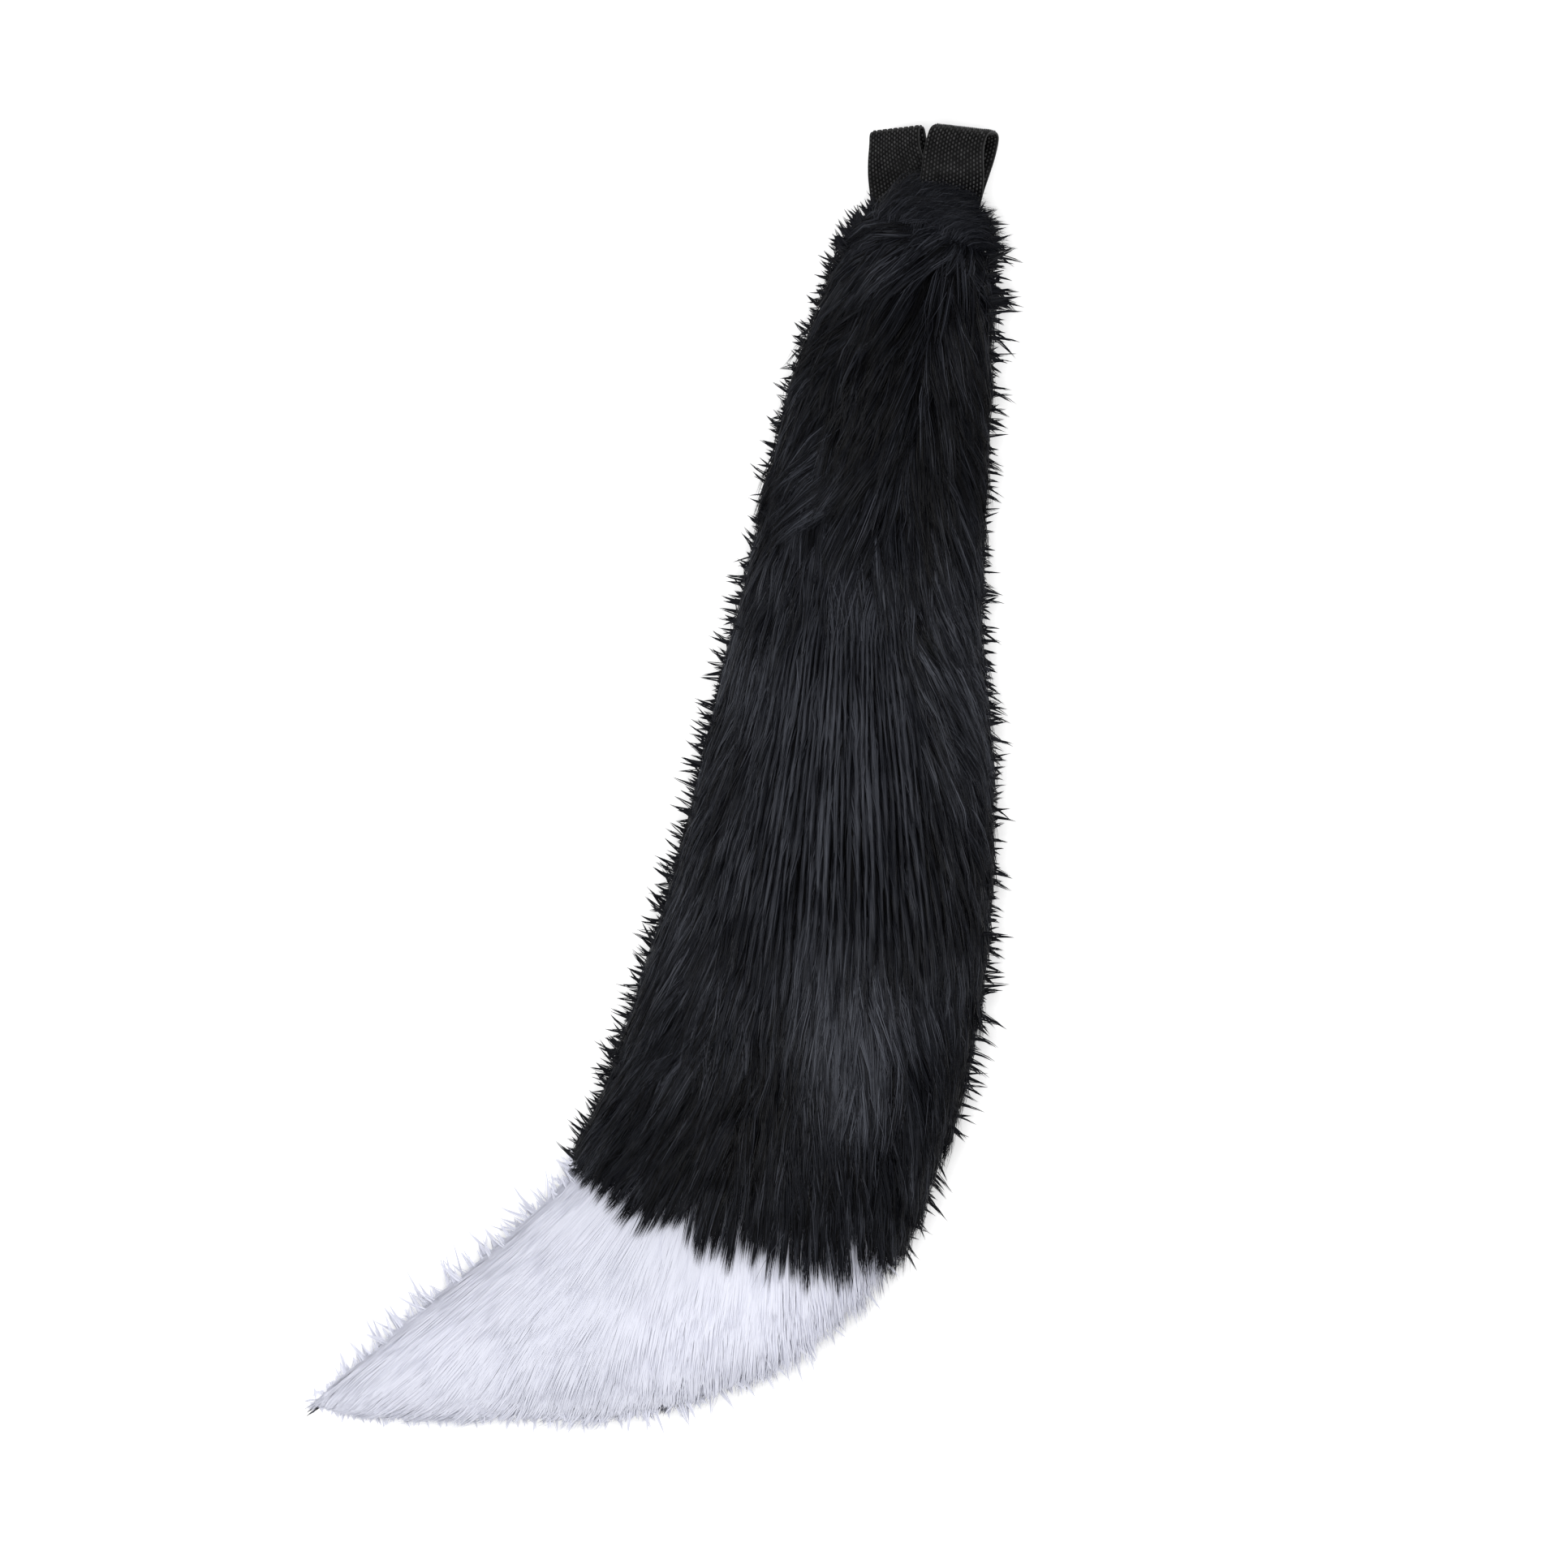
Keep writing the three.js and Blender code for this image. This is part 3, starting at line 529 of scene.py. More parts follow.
def strands_of(cords, count, tight, tip_height, root_height, relief, lively, black):
    """Strands that leave the fabric round their cord's root, in a few close bunches, and meet towards its
    tip. tight is how closely they meet, relief how much higher some cords end than others, and lively how
    much the strands differ from each other."""
    weight = density[cords]
    weight = weight / weight.sum()
    pick = (np.arange(count) + rng.uniform(0, 1, count)) / count
    own = cords[np.searchsorted(np.cumsum(weight), pick).clip(0, len(cords) - 1)]
    s0, t0 = cord_s[own], cord_t[own]
    _, ds, dt, _ = surface(s0, t0, PILE_RELIEF)

    # Roots round that of the cord, drawn together into bunches side by side
    reach = 0.5 * CORD_PITCH
    along_step, around_step = rng.uniform(-1.3, 1.3, count), rng.uniform(-1, 1, count)
    bunch = np.clip(np.floor((around_step + 1) / 2 * BUNCHES), 0, BUNCHES - 1).astype(int)
    bunch_middle = (bunch + 0.5) / BUNCHES * 2 - 1
    in_bunch = (around_step - bunch_middle) * BUNCHES
    around_step = bunch_middle + 0.75 * in_bunch / BUNCHES
    s = np.clip(s0 + along_step * reach / np.maximum(np.linalg.norm(ds, axis=1), LEAST_SCALE), 0, LAST)
    t = t0 + np.clip(around_step * reach / np.maximum(np.linalg.norm(dt, axis=1), LEAST_SCALE), -0.3, 0.3)

    # Their courses over the fabric, drawn towards that of the cord. A few stray from it.
    stray = rng.uniform(0, 1, count) < STRAY_SHARE * lively
    wander = cord_wander[own] + np.where(stray, 0.2, 0.05 * lively) * rng.normal(size=count)
    hem_near = black * smooth((HEM_DEPTH - cord_before[own]) / 0.02)
    length = cord_length[own] * (1 - rng.uniform(-0.05, 0.28, count) * (1 + 0.7 * hem_near))
    lift_share = cord_lift[own] * rng.uniform(0.8, 1.2, count)
    path, normal, gain = walk(s, t, length, wander, lift_share)
    close = np.where(stray, 0.1, tight * rng.uniform(0.85, 1.0, count))[:, None, None]
    close = close * smooth(SHARES * 1.1)[None, :, None]
    apart = (path[:, 0] - cord_root[own])[:, None, :]
    open_share = (0.12 + 0.26 * hem_near)[:, None, None]
    path = path * (1 - close) + (cord_path[own] + open_share * apart) * close

    # Their heights over it. The black ends over the white at the seam, and lies flatter at the edges.
    seam_rise, seam_sink = (SEAM_RISE, 0.0) if black else (-SEAM_SINK[0], SEAM_SINK[1])
    near_seam = smooth(1 - np.abs(cord_before[own]) / SEAM_REACH)
    raised, painted_sheen_and_shade = lie_and_painted_sheen_at(path[:, 1])
    rise = tip_height + relief * cord_rise[own] + TIP_SPREAD * lively * rng.normal(size=count)
    rise = rise + np.where(stray, STRAY_RISE, 0)
    rise = np.maximum(rise + seam_rise * near_seam, LEAST_RISE)
    rise = rise * (1 - 0.4 * black * np.cos(t) ** 6)
    rise = rise * (1 - 0.6 * black * np.maximum(-np.cos(t), 0) ** 4 * smooth((5 - s) / 2.5))
    rise = np.maximum(rise + black * np.tan(raised) * length * 0.8, LEAST_RISE)
    rise = rise - lively * CORD_ROUND * around_step ** 2 + lively * BUNCH_RISE * bunch_rise[own, bunch]
    rise = rise - lively * BUNCH_ROUND * in_bunch ** 2
    low = root_height - seam_sink * near_seam
    height = rise[:, None] * (1 - (1 - SHARES[None, :]) ** 2) + low[:, None] * (1 - SHARES[None, :])
    bow = cord_bow[own] + lively * rng.normal(0, STRAND_BOW, count)
    height = height + bow[:, None] * np.sin(math.pi * SHARES)[None, :]
    sway = np.cross(unit(path[:, -1] - path[:, 0]), normal[:, 0])[:, None, :]
    swing = cord_sway[own, None] + lively * rng.normal(0, STRAND_SWAY, (count, 1))
    swing = swing * np.sin(2 * math.pi * SHARES * 0.9)[None, :]
    path = path + normal * (height + gain)[..., None] + sway * swing[..., None]

    # How far each is rolled about its own line, and its tone: a bunch is darker at its sides, painted shade
    # between the bunches
    roll = lively * (0.5 * around_step + 0.6 * in_bunch)
    tone = 0.3 * cord_tone[own] + 0.45 * bunch_tone[own, bunch] + 0.3 * rng.uniform(0, 1, count)
    tone = 0.45 + 1.65 * lively * (tone - 0.5) - 0.16 * lively * in_bunch ** 2
    if black:
        grooved, across, spread = groove_at(path)
        grooved = grooved * (np.sin(t) > 0)[:, None]
        number = np.round(across[:, 2:3] / GROOVE_PITCH)
        beside = np.clip((across / GROOVE_PITCH - number) * 2, -1.6, 1.6)
        deep = grooved * (0.7 + 0.3 * np.sin(12.9 * number))
        path[..., 0] -= GROOVE_SQUEEZE * grooved * beside * GROOVE_PITCH / 2 * spread
        path[..., 2] += deep * GROOVE_DEPTH * (0.35 - np.abs(beside) ** 3).clip(-1, 1)
        here = grooved[:, 2]
        middle_beside = np.clip(beside[:, 2], -1, 1)
        roll = roll * (1 - here) + GROOVE_ROLL * middle_beside * here
        # In the grooves each strand's tone follows its line: lighter along the middle and darker at the
        # edges, painted shade in the grooves, with a tone that differs from line to line.
        band = 0.80 + 0.14 * np.sin(7.3 * number[:, 0]) - 1.15 * np.abs(middle_beside) ** 3
        tone = tone * (1 - GROOVE_WEIGHT * here) + GROOVE_WEIGHT * here * band
    # Painted sheen and painted shade from the table of places, added to the tone
    tone = tone + painted_sheen_and_shade
    slimmer = np.where(stray, 0.5, rng.uniform(0.7, 1.25, count))
    width = STRAND_WIDTH * slimmer * (1.0 if black else WHITE_WIDER)
    # Stray strands, which end higher, are painted lighter: a painted highlight on them
    tone = np.where(stray, tone + 0.15, tone)
    return path, normal, width, tone, roll + 0.2 * lively * rng.normal(size=count)


def edge_spikes():
    """Small pointed tufts that stand out sideways all round the tail, black ones and white ones."""
    lengths = np.arange(0.003, ARC[-1], SPIKE_PITCH)
    lengths = np.concatenate([lengths, np.arange(0.002, SPIKE_NECK, SPIKE_PITCH / 2)])
    lengths = np.tile(lengths, 4)
    count = len(lengths)
    side = np.repeat([0.0, 0.0, math.pi, math.pi], count // 4)
    station = station_at(lengths + rng.uniform(-1, 1, count) * SPIKE_PITCH)
    turn = side + rng.normal(0, SPIKE_TURN, count)
    root, _, _, normal = surface(station, turn, PILE_RELIEF)
    outward = unit(normal * np.array([1.0, 1.0, 0.0]))
    swing = np.radians(rng.normal(0, SPIKE_SWING, count))
    way = np.stack([outward[:, 0] * np.cos(swing) - outward[:, 1] * np.sin(swing),
                    outward[:, 0] * np.sin(swing) + outward[:, 1] * np.cos(swing),
                    rng.uniform(-0.3, 0.35, count)], -1)
    usual = at_edge("tufts", station, turn)
    length = (SPIKE_LENGTH + SPIKE_LONGER * rng.uniform(0, 1, count) ** 1.4) * usual
    rising = -0.15 * np.cos(turn) + rng.normal(0, 0.12, count)
    rising = rising[:, None] * np.array([0.0, 1.0, 0.0])

    own = np.repeat(np.arange(count), SPIKE_STRANDS)
    total = len(own)
    black = before_seam(root)[own] > SPIKE_SEAM
    spread = rng.normal(0, SPIKE_FOOT, (total, 3))
    reach = (length[own] * rng.uniform(0.7, 1.05, total))[:, None, None]
    u = SHARES[None, :, None]
    path = (root + normal * SPIKE_LEVEL)[own][:, None, :] + spread[:, None, :] * (1 - 0.93 * u ** 0.8)
    path = path + (unit(way)[own][:, None, :] * u + rising[own][:, None, :] * u ** 2) * reach
    normals = np.repeat(unit(UP + 0.6 * normal[own])[:, None, :], len(SHARES), 1)
    width = STRAND_WIDTH * rng.uniform(0.8, 1.3, total) * np.where(black, 1, 0.75)
    roll = rng.uniform(-0.5, 0.5, total)
    tone = np.where(black, 0.1, 0.7) + 0.3 * rng.uniform(0, 1, total)
    return [tuple(a[chosen] for a in (path, normals, width, tone, roll)) for chosen in (black, ~black)]


def press_on_floor(path):
    """Strands that would sink into the surface are pressed flat on it."""
    low = FLOOR_GAP + PRESSED_DEPTH * rng.uniform(0, 1, (len(path), 1))
    path[..., 2] = np.where(path[..., 2] < low, low, path[..., 2])
    return path


def mesh_object(name, vertices, triangles, material, tones, quads=None, facing=None):
    mesh = bpy.data.meshes.new(name)
    faces = [np.asarray(triangles, int).reshape(-1, 3)]
    if quads is not None:
        faces.append(np.asarray(quads, int).reshape(-1, 4))
    loops = np.concatenate([f.ravel() for f in faces])
    sizes = np.concatenate([np.full(len(f), f.shape[1]) for f in faces])
    mesh.vertices.add(len(vertices))
    mesh.vertices.foreach_set("co", np.asarray(vertices, np.float32).ravel())
    mesh.loops.add(len(loops))
    mesh.loops.foreach_set("vertex_index", loops.astype(np.int32))
    mesh.polygons.add(len(sizes))
    mesh.polygons.foreach_set("loop_start", np.concatenate([[0], np.cumsum(sizes)[:-1]]).astype(np.int32))
    mesh.polygons.foreach_set("loop_total", sizes.astype(np.int32))
    mesh.update(calc_edges=True)
    mesh.validate()
    mesh.polygons.foreach_set("use_smooth", np.ones(len(mesh.polygons), bool))
    if facing is not None:
        mesh.normals_split_custom_set_from_vertices(facing)
    attribute = mesh.attributes.new("tone", "FLOAT", "POINT")
    attribute.data.foreach_set("value", np.asarray(tones, np.float32))
    mesh.materials.append(material)
    obj = bpy.data.objects.new(name, mesh)
    bpy.context.scene.collection.objects.link(obj)
    return obj


SLEEK_EDGE = 0.2  # how far the shading of a sleek strand turns away at its sides
SLEEK_LEVEL = 0.9  # and how far it is evened out towards straight up


def strand_mesh(name, path, normal, width, tone, roll, crest_share, sleek, material):
    """Each strand is a ridged ribbon that narrows to a point: three points a ring and one at the tip. Sleek
    strands are shaded as one even surface, which follows the fabric."""
    count, rings = path.shape[0], path.shape[1]
    tangent = unit(np.gradient(path, axis=1))
    side = unit(np.cross(tangent, normal))
    crest = unit(np.cross(side, tangent))
    roll = roll[:, None, None]
    side, crest = side * np.cos(roll) + crest * np.sin(roll), crest * np.cos(roll) - side * np.sin(roll)
    along = np.linspace(0, 1, rings)
    half = (width[:, None] / 2 * (1 - 0.55 * along[None, :] ** 1.5))[..., None]
    body = np.stack([path - side * half, path + crest * half * crest_share, path + side * half], 2)[:, :-1]
    per = 3 * (rings - 1) + 1
    vertices = np.concatenate([body.reshape(count, -1, 3), path[:, -1:]], 1).reshape(-1, 3)
    pattern = []
    for ring in range(rings - 2):
        for k in (0, 1):
            a, b = 3 * ring + k, 3 * ring + k + 1
            pattern += [(a, b, b + 3), (a, b + 3, a + 3)]
    last = 3 * (rings - 2)
    pattern += [(last, last + 1, per - 1), (last + 1, last + 2, per - 1)]
    triangles = (np.array(pattern)[None] + per * np.arange(count)[:, None, None]).reshape(-1, 3)
    shade = np.repeat(tone[:, None], per, 1)
    facing = None
    if sleek:
        edge = np.array([-SLEEK_EDGE, 0.0, SLEEK_EDGE])[:, None]
        soft = unit(np.maximum(normal, [-1, -1, 0]) + SLEEK_LEVEL * UP)
        body = unit(soft[:, :-1, None, :] + side[:, :-1, None, :] * edge)
        facing = np.concatenate([body.reshape(count, -1, 3), soft[:, -1:]], 1).reshape(-1, 3)
    return mesh_object(name, vertices + NECK, triangles, material, shade.ravel(), facing=facing)


def node_material(name):
    material = bpy.data.materials.new(name)
    material.use_nodes = True
    nodes, links = material.node_tree.nodes, material.node_tree.links
    return material, nodes, links, nodes["Principled BSDF"]


def set_inputs(node, values):
    for name, value in values.items():
        node.inputs[name].default_value = value


def object_noise(nodes, links, scale):
    place = nodes.new("ShaderNodeTexCoord")
    noise = nodes.new("ShaderNodeTexNoise")
    set_inputs(noise, {"Scale": scale, "Detail": 2.0})
    links.new(place.outputs["Object"], noise.inputs["Vector"])
    return noise.outputs["Fac"]


PATCH_LOW = 0.3  # what the noise of the patches spans
PATCH_HIGH = 0.7
FINE_SCALE = 1400.0  # of the fine bump, per metre
ROUGH_SPREAD = 0.08


def map_patches(nodes, links, patches, low, high):
    node = nodes.new("ShaderNodeMapRange")
    set_inputs(node, {"From Min": PATCH_LOW, "From Max": PATCH_HIGH, "To Min": low, "To Max": high})
    links.new(patches, node.inputs["Value"])
    return node.outputs["Result"]


def fur_material(name, dark, middle, light, rough, specular, patch_scale=28.0):
    """A cover whose strands, or ribs, differ in tone, in patches and one by one. The tone they carry also
    holds painted sheen and painted shade.
    """
    material, nodes, links, shader = node_material(name)
    tone = nodes.new("ShaderNodeAttribute")
    tone.attribute_name = "tone"
    patches = object_noise(nodes, links, patch_scale)
    joined = nodes.new("ShaderNodeMath")
    joined.operation = "MULTIPLY_ADD"
    joined.inputs[1].default_value = 0.8
    links.new(tone.outputs["Fac"], joined.inputs[0])
    links.new(map_patches(nodes, links, patches, 0.0, 0.2), joined.inputs[2])
    ramp = nodes.new("ShaderNodeValToRGB")
    ramp.color_ramp.elements[0].color = (*dark, 1)
    ramp.color_ramp.elements[1].color = (*light, 1)
    ramp.color_ramp.elements.new(0.5).color = (*middle, 1)
    links.new(joined.outputs["Value"], ramp.inputs["Fac"])
    links.new(ramp.outputs["Color"], shader.inputs["Base Color"])
    links.new(map_patches(nodes, links, patches, rough - ROUGH_SPREAD, rough + ROUGH_SPREAD),
              shader.inputs["Roughness"])
    bump = nodes.new("ShaderNodeBump")
    set_inputs(bump, {"Strength": 0.25, "Distance": 0.0001})
    links.new(object_noise(nodes, links, FINE_SCALE), bump.inputs["Height"])
    links.new(bump.outputs["Normal"], shader.inputs["Normal"])
    set_inputs(shader, {"Specular IOR Level": specular})
    return material


black_fur = fur_material("black_fur", (0.0006, 0.0006, 0.0010), (0.0103, 0.0112, 0.0148),
                         (0.064, 0.068, 0.082), rough=0.3, specular=0.065)
white_fur = fur_material("white_fur", (0.54, 0.553, 0.63), (0.60, 0.61, 0.69),
                         (0.70, 0.71, 0.80), rough=0.6, specular=0.15)
black_fabric = fur_material("black_fabric", (0.0015, 0.0015, 0.0018), (0.0025, 0.0025, 0.003),
                            (0.004, 0.004, 0.0048), rough=0.8, specular=0.1, patch_scale=60.0)
white_fabric = fur_material("white_fabric", (0.66, 0.67, 0.72), (0.68, 0.69, 0.74),
                            (0.72, 0.73, 0.77), rough=0.8, specular=0.1, patch_scale=60.0)
web_material = fur_material("webbing", (0.0016, 0.0016, 0.0017), (0.012, 0.012, 0.0122),
                            (0.055, 0.055, 0.056), rough=0.5, specular=0.06, patch_scale=300.0)


def strand_pieces(base, groups, parts, crest_share, sleek, material):
    """The strands of all groups in the given number of pieces, from the neck to the tip. crest_share is how
    high each strand is ridged, against half its width."""
    path, normal, width, tone, roll = (np.concatenate(columns) for columns in zip(*groups))
    path = press_on_floor(path)
    order = np.argsort(-path[:, 0, 1])
    for number, chosen in enumerate(np.array_split(order, parts)):
        piece = strand_mesh(f"{base}_{number + 1}", path[chosen], normal[chosen], width[chosen], tone[chosen],
                            roll[chosen], crest_share, sleek, material)
        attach(piece, "root")


COLLAR_START = (-182, -120)  # degrees from straight down, on the left and on the right
COLLAR_TURN = (110, 60)  # degrees by which the strands turn on their way
COLLAR_LENGTH = 0.021
COLLAR_SHORTER = 0.0085  # how much less it is on the right
COLLAR_HEIGHT = 0.003  # of the lowest arches, and what the highest have more
COLLAR_HIGHER = 0.002


def collar():
    """Strands of the neck that turn up over the feet of the loops and arch over to the right."""
    count = COLLAR_STRANDS
    turn = rng.uniform(0.06, 0.88, count) * math.pi
    station = rng.uniform(0.05, 0.9, count)
    point, _, _, normal = surface(station, turn, PILE_RELIEF)
    right = smooth((np.cos(turn) - 0.2) / 0.6)
    start = COLLAR_START[0] + (COLLAR_START[1] - COLLAR_START[0]) * right + 9 * rng.normal(size=count)
    turned = COLLAR_TURN[0] + (COLLAR_TURN[1] - COLLAR_TURN[0]) * right + 12 * rng.normal(size=count)
    length = (COLLAR_LENGTH - COLLAR_SHORTER * right) * rng.uniform(0.7, 1.1, count)
    path = [point - normal * 0.0008]
    for before, after in zip(SHARES[:-1], SHARES[1:]):
        angle = np.radians(start + turned * (before + after) / 2)
        path.append(path[-1] + heading(angle) * ((after - before) * length)[:, None])
    path = np.stack(path, 1)
    arch = COLLAR_HEIGHT + COLLAR_HIGHER * rng.uniform(0, 1, count)
    path[..., 2] += arch[:, None] * smooth(SHARES * 1.2)[None, :]
    normals = np.repeat(normal[:, None, :], len(SHARES), 1)
    width = STRAND_WIDTH * rng.uniform(0.5, 1, count)
    return path, normals, width, rng.uniform(0.1, 0.72, count), rng.uniform(-0.6, 0.6, count)


black_spikes, white_spikes = edge_spikes()
black_coat = strands_of(np.nonzero(is_black)[0], BLACK_STRANDS, tight=0.85, tip_height=0.0024,
                        root_height=-0.0008, relief=0.0030, lively=1.0, black=True)
white_coat = strands_of(np.nonzero(~is_black)[0], WHITE_STRANDS, tight=0.2, tip_height=0.0010,
                        root_height=0.0003, relief=0.0001, lively=0.08, black=False)
black_groups = [black_coat, collar(), black_spikes]
white_groups = [white_coat, white_spikes]
strand_pieces("black_coat", black_groups, parts=4, crest_share=0.9, sleek=False, material=black_fur)
strand_pieces("white_coat", white_groups, parts=2, crest_share=0.25, sleek=True, material=white_fur)


def fabric(name, near, far, material):
    """The fur's backing between two stations given for each turn, under the pile."""
    around, rings = 72, 110
    turns = np.linspace(0, 2 * math.pi, around, endpoint=False)
    start, end = near(turns), far(turns)
    share = np.linspace(0, 1, rings)[:, None]
    stations = start[None] * (1 - share) + end[None] * share
    turn_grid = np.broadcast_to(turns, stations.shape)
    points = skin_point(stations, turn_grid, PILE_RELIEF + BACKING_INSET)
    points[..., 2] = np.maximum(points[..., 2], FLOOR_GAP / 2)
    grid = np.arange(rings * around).reshape(rings, around)
    right = np.roll(grid, -1, 1)
    quads = np.stack([grid[:-1], right[:-1], right[1:], grid[1:]], -1).reshape(-1, 4)
    ends = np.stack([points[0].mean(0), points[-1].mean(0)])
    first, last = rings * around, rings * around + 1
    caps = [(first, right[0, k], grid[0, k]) for k in range(around)]
    caps += [(last, grid[-1, k], right[-1, k]) for k in range(around)]
    vertices = np.concatenate([points.reshape(-1, 3), ends]) + NECK
    tones = 0.5 + 0.5 * np.clip(ripple(vertices, 0.01, 8), -1, 1)
    obj = mesh_object(name, vertices, caps, material, tones, quads)
    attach(obj, "root")
    return obj


def seam_stations(turns):
    """Where each line along the tail first crosses the seam."""
    s, t = np.meshgrid(FINE, turns, indexing="ij")
    return FINE[np.argmax(before_seam(skin_point(s, t, PILE_RELIEF)) < 0, 0)]


black_skin = fabric("black_backing", np.zeros_like, seam_stations, black_fabric)
white_skin = fabric("white_backing", seam_stations, lambda t: np.full_like(t, LAST), white_fabric)
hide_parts("black_fur_sleeve", "stuffing")
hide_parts("white_fur_tip")


def curve_through(points, count):
    """Evenly spaced points on a smooth curve through the given ones, its unit tangents and its length."""
    points = np.asarray(points, float)
    padded = np.concatenate([[2 * points[0] - points[1]], points, [2 * points[-1] - points[-2]]])
    dense = []
    for i in range(len(points) - 1):
        dense.append(spline(*padded[i:i + 4], np.linspace(0, 1, 40, endpoint=False)[:, None]))
    dense = np.concatenate([*dense, points[-1:]])
    gone = lengths_along(dense)
    even = np.linspace(0, gone[-1], count)
    found = np.stack([np.interp(even, gone, dense[:, k]) for k in range(3)], 1)
    return found, unit(np.gradient(found, axis=0)), gone[-1]


def turned_about(v, axis, angle):
    """Rows of v turned about a fixed axis, each by its own angle."""
    c, s = np.cos(angle)[..., None], np.sin(angle)[..., None]
    return v * c + np.cross(np.broadcast_to(axis, v.shape), v) * s + axis * (v @ axis)[..., None] * (1 - c)


LINE_POINTS = 241  # along the webbing's middle layer
BAND_RINGS = 130
BAND_COLUMNS = 19
BAND_THICK = 0.62  # shares of the half thickness: the band under the ribs, its edges, and the ribs' feet
BAND_EDGE = 0.4
RIB_FOOT = 0.6
SPOKES = 6  # of a rib
SHOULDER = (0.62, 0.72)  # of a rib: share of its size, share of its height


def band_profile():
    """The plain band's section without the ribs: places across it and heights over its middle layer."""
    half_wide, half_thick = WEBBING_WIDTH / 2, WEBBING_THICK / 2
    spread = np.linspace(-1, 1, BAND_COLUMNS)
    profile = [(x * (half_wide - SELVEDGE), BAND_THICK * half_thick) for x in spread]
    profile += [(half_wide, BAND_EDGE * half_thick), (half_wide, -BAND_EDGE * half_thick)]
    profile += [(x * (half_wide - SELVEDGE), -BAND_THICK * half_thick) for x in spread[::-1]]
    profile += [(-half_wide, -BAND_EDGE * half_thick), (-half_wide, BAND_EDGE * half_thick)]
    return np.array(profile).T


def rib_shape():
    """One oval rib: the turn, radius and height share of each of its points, and its faces."""
    spokes = np.linspace(0, 2 * math.pi, SPOKES, endpoint=False)
    turns = np.concatenate([spokes, spokes, [0]])
    dome = np.array([(1.0, 0.0)] * SPOKES + [SHOULDER] * SPOKES + [(0.0, 1.0)])
    faces = []
    for k in range(SPOKES):
        n = (k + 1) % SPOKES
        faces += [(k, n, SPOKES + n), (k, SPOKES + n, SPOKES + k), (SPOKES + k, SPOKES + n, 2 * SPOKES)]
    return turns, dome[:, 0], dome[:, 1], np.array(faces)


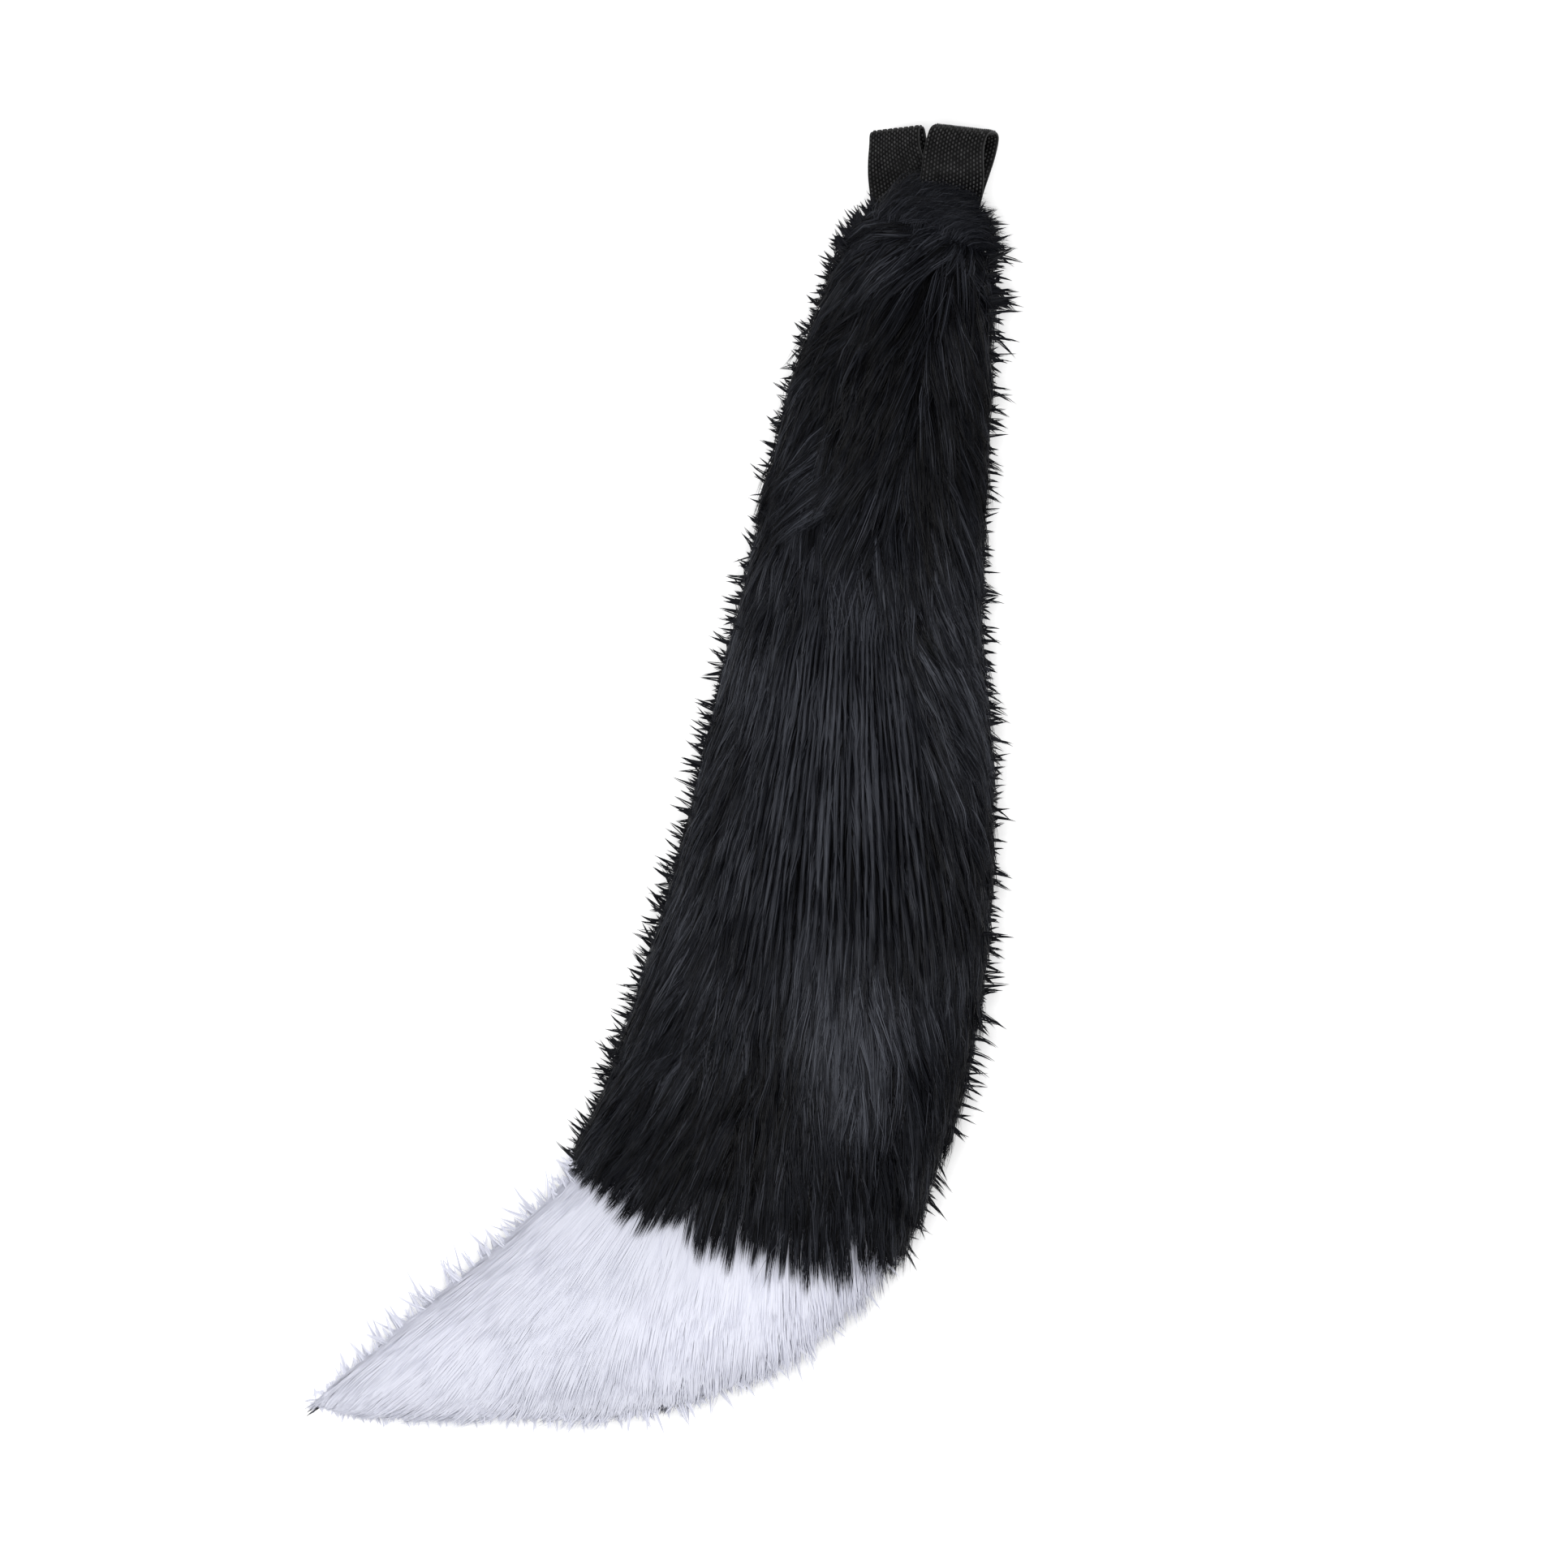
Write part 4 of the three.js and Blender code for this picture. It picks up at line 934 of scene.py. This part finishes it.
def webbing(name):
    """A belt loop: a folded band with oval ribs in staggered columns on both faces."""
    aside, above, lean, slant, twist, part, gape_share, pinch = LOOPS[name]
    held = (WEBBING_THICK + CLEARANCE) / 2
    leg = [(0, -LOOP_ANCHOR, held)]
    for rise, gape in LOOP_PROFILE:
        opened = gape * gape_share * (1 - pinch * rise ** 4)
        leg.append((0, rise * LOOP_RISE, held + opened * LOOP_GAPE / 2))
    back = [(x, y, -z) for x, y, z in reversed(leg)]
    line, way, length = curve_through([*leg, (0, LOOP_RISE, 0), *back], LINE_POINTS)
    out = np.stack([np.zeros(len(way)), way[:, 2], -way[:, 1]], 1)
    foot = section_at(np.zeros(1))[0][0]
    neck = foot + np.array([aside, 0, above])

    def place(points):
        """Twists, parts, slants and leans the loop, and sets it in the neck."""
        y = points[..., 1]
        turned = smooth(y / (0.9 * LOOP_RISE))
        parted = smooth((y + LOOP_ANCHOR / 2) / (0.5 * LOOP_RISE + LOOP_ANCHOR / 2))
        points = turned_about(points, np.array([0.0, 1, 0]), np.radians(-twist) * turned)
        points = points + UP * (part * parted)[..., None]
        points[..., 0] += slant * np.maximum(y, 0)
        return turned_about(points, UP, np.full(points.shape[:-1], math.radians(-lean))) + neck + NECK

    def on_web(along, across, height):
        """Points at a length along the webbing, a place across it and a height over its middle layer."""
        even = np.linspace(0, length, len(line))
        base = np.stack([np.interp(along, even, line[:, k]) for k in range(3)], -1)
        away = unit(np.stack([np.interp(along, even, out[:, k]) for k in range(3)], -1))
        base = base + away * np.asarray(height)[..., None]
        base[..., 0] += across
        return place(base)

    half_wide, half_thick = WEBBING_WIDTH / 2, WEBBING_THICK / 2
    across, height = band_profile()
    along = np.linspace(0, length, BAND_RINGS)
    along_grid = np.repeat(along[:, None], len(across), 1)
    ring_points = on_web(along_grid, across[None], np.repeat(height[None], BAND_RINGS, 0))
    grid = np.arange(BAND_RINGS * len(across)).reshape(BAND_RINGS, -1)
    right = np.roll(grid, -1, 1)
    quads = np.stack([grid[:-1], grid[1:], right[1:], right[:-1]], -1).reshape(-1, 4)
    at_selvedge = np.abs(across) > half_wide - SELVEDGE / 2
    vertices = [ring_points.reshape(-1, 3)]
    # Tones: the selvedges lighter, a painted highlight on the edges, and the band between the ribs darkest,
    # painted shade between the ribs
    tones = [np.tile(np.where(at_selvedge, 0.75, 0.0), BAND_RINGS)]

    triangles = []
    turns, radius, swell, rib_faces = rib_shape()
    row, col = np.meshgrid(np.arange(int(length / RIB_PITCH)), np.arange(RIB_COLUMNS), indexing="ij")
    row, col = row.ravel(), col.ravel()
    pitch = (WEBBING_WIDTH - 2 * SELVEDGE) / RIB_COLUMNS
    rib_along = (row + 0.5 + 0.5 * (col % 2)) * RIB_PITCH
    rib_across = (col + 0.5) * pitch - half_wide + SELVEDGE
    first = grid.size
    for face in (1, -1):
        size = rng.uniform(0.9, 1.08, len(row))[:, None]
        point_along = rib_along[:, None] + radius * np.sin(turns) * RIB_LENGTH / 2 * size
        point_across = rib_across[:, None] + radius * np.cos(turns) * RIB_WIDTH / 2 * size
        point_height = face * (RIB_FOOT * half_thick + swell * RIB_HEIGHT * size)
        points = on_web(np.clip(point_along, 0, length), point_across, point_height)
        vertices.append(points.reshape(-1, 3))
        # The ribs lighter than the band under them, painted light on the ribs, and differing from rib to rib
        # at random
        tones.append(np.repeat(0.6 + 0.4 * rng.uniform(0, 1, len(row)), len(turns)))
        faces = rib_faces[:, ::-1] if face > 0 else rib_faces
        starts = first + len(turns) * np.arange(len(row))
        triangles.append((faces[None] + starts[:, None, None]).reshape(-1, 3))
        first += points.shape[0] * points.shape[1]
    obj = mesh_object(name + "_webbing", np.concatenate(vertices), np.concatenate(triangles), web_material,
                      np.concatenate(tones), quads)
    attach(obj, "root")
    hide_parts(name)


for loop_name in LOOPS:
    webbing(loop_name)

# Floor, light and camera
FLOOR_SIZE = 14
WORLD_STRENGTH = 0.66

floor_material, _, _, floor_shader = node_material("pale_floor")
set_inputs(floor_shader, {"Base Color": (0.93, 0.93, 0.93, 1), "Emission Color": (1, 1, 1, 1),
                          "Emission Strength": 0.25, "Roughness": 0.9})
bpy.ops.mesh.primitive_plane_add(size=FLOOR_SIZE, location=(0, 0, 0))
floor = bpy.context.object
floor.name = "floor"
floor.data.materials.append(floor_material)

world = bpy.data.worlds.new("studio")
world.use_nodes = True
set_inputs(world.node_tree.nodes["Background"], {"Color": (1, 1, 1, 1), "Strength": WORLD_STRENGTH})
bpy.context.scene.world = world


def soft_light(name, place, aim, size, power):
    data = bpy.data.lights.new(name, "AREA")
    data.shape = "DISK"
    data.size = size
    data.energy = power
    obj = bpy.data.objects.new(name, data)
    bpy.context.scene.collection.objects.link(obj)
    obj.location = place
    direction = np.array(aim, float) - np.array(place, float)
    obj.rotation_mode = "QUATERNION"
    obj.rotation_quaternion = Vector(direction).to_track_quat("-Z", "Y")


soft_light("key", (0.1, 0.1, 1.9), (0, -0.05, 0), size=0.7, power=19)
soft_light("fill", (-1.2, -0.9, 1.8), (0, 0, 0), size=1.6, power=15)

FRAME_SIDE = 0.6211  # what the picture's side spans at the tail's widest level
FRAME_CENTRE = (0.0478, 0.0017)
WIDEST_LEVEL = 0.036
LENS = 300
SENSOR = 36
camera_data = bpy.data.cameras.new("camera")
camera_data.lens = LENS
camera_data.sensor_width = SENSOR
camera_data.clip_end = 50
camera = bpy.data.objects.new("camera", camera_data)
bpy.context.scene.collection.objects.link(camera)
camera.location = (*FRAME_CENTRE, WIDEST_LEVEL + FRAME_SIDE * LENS / SENSOR)
bpy.context.scene.camera = camera
bpy.context.scene.view_settings.view_transform = "Standard"
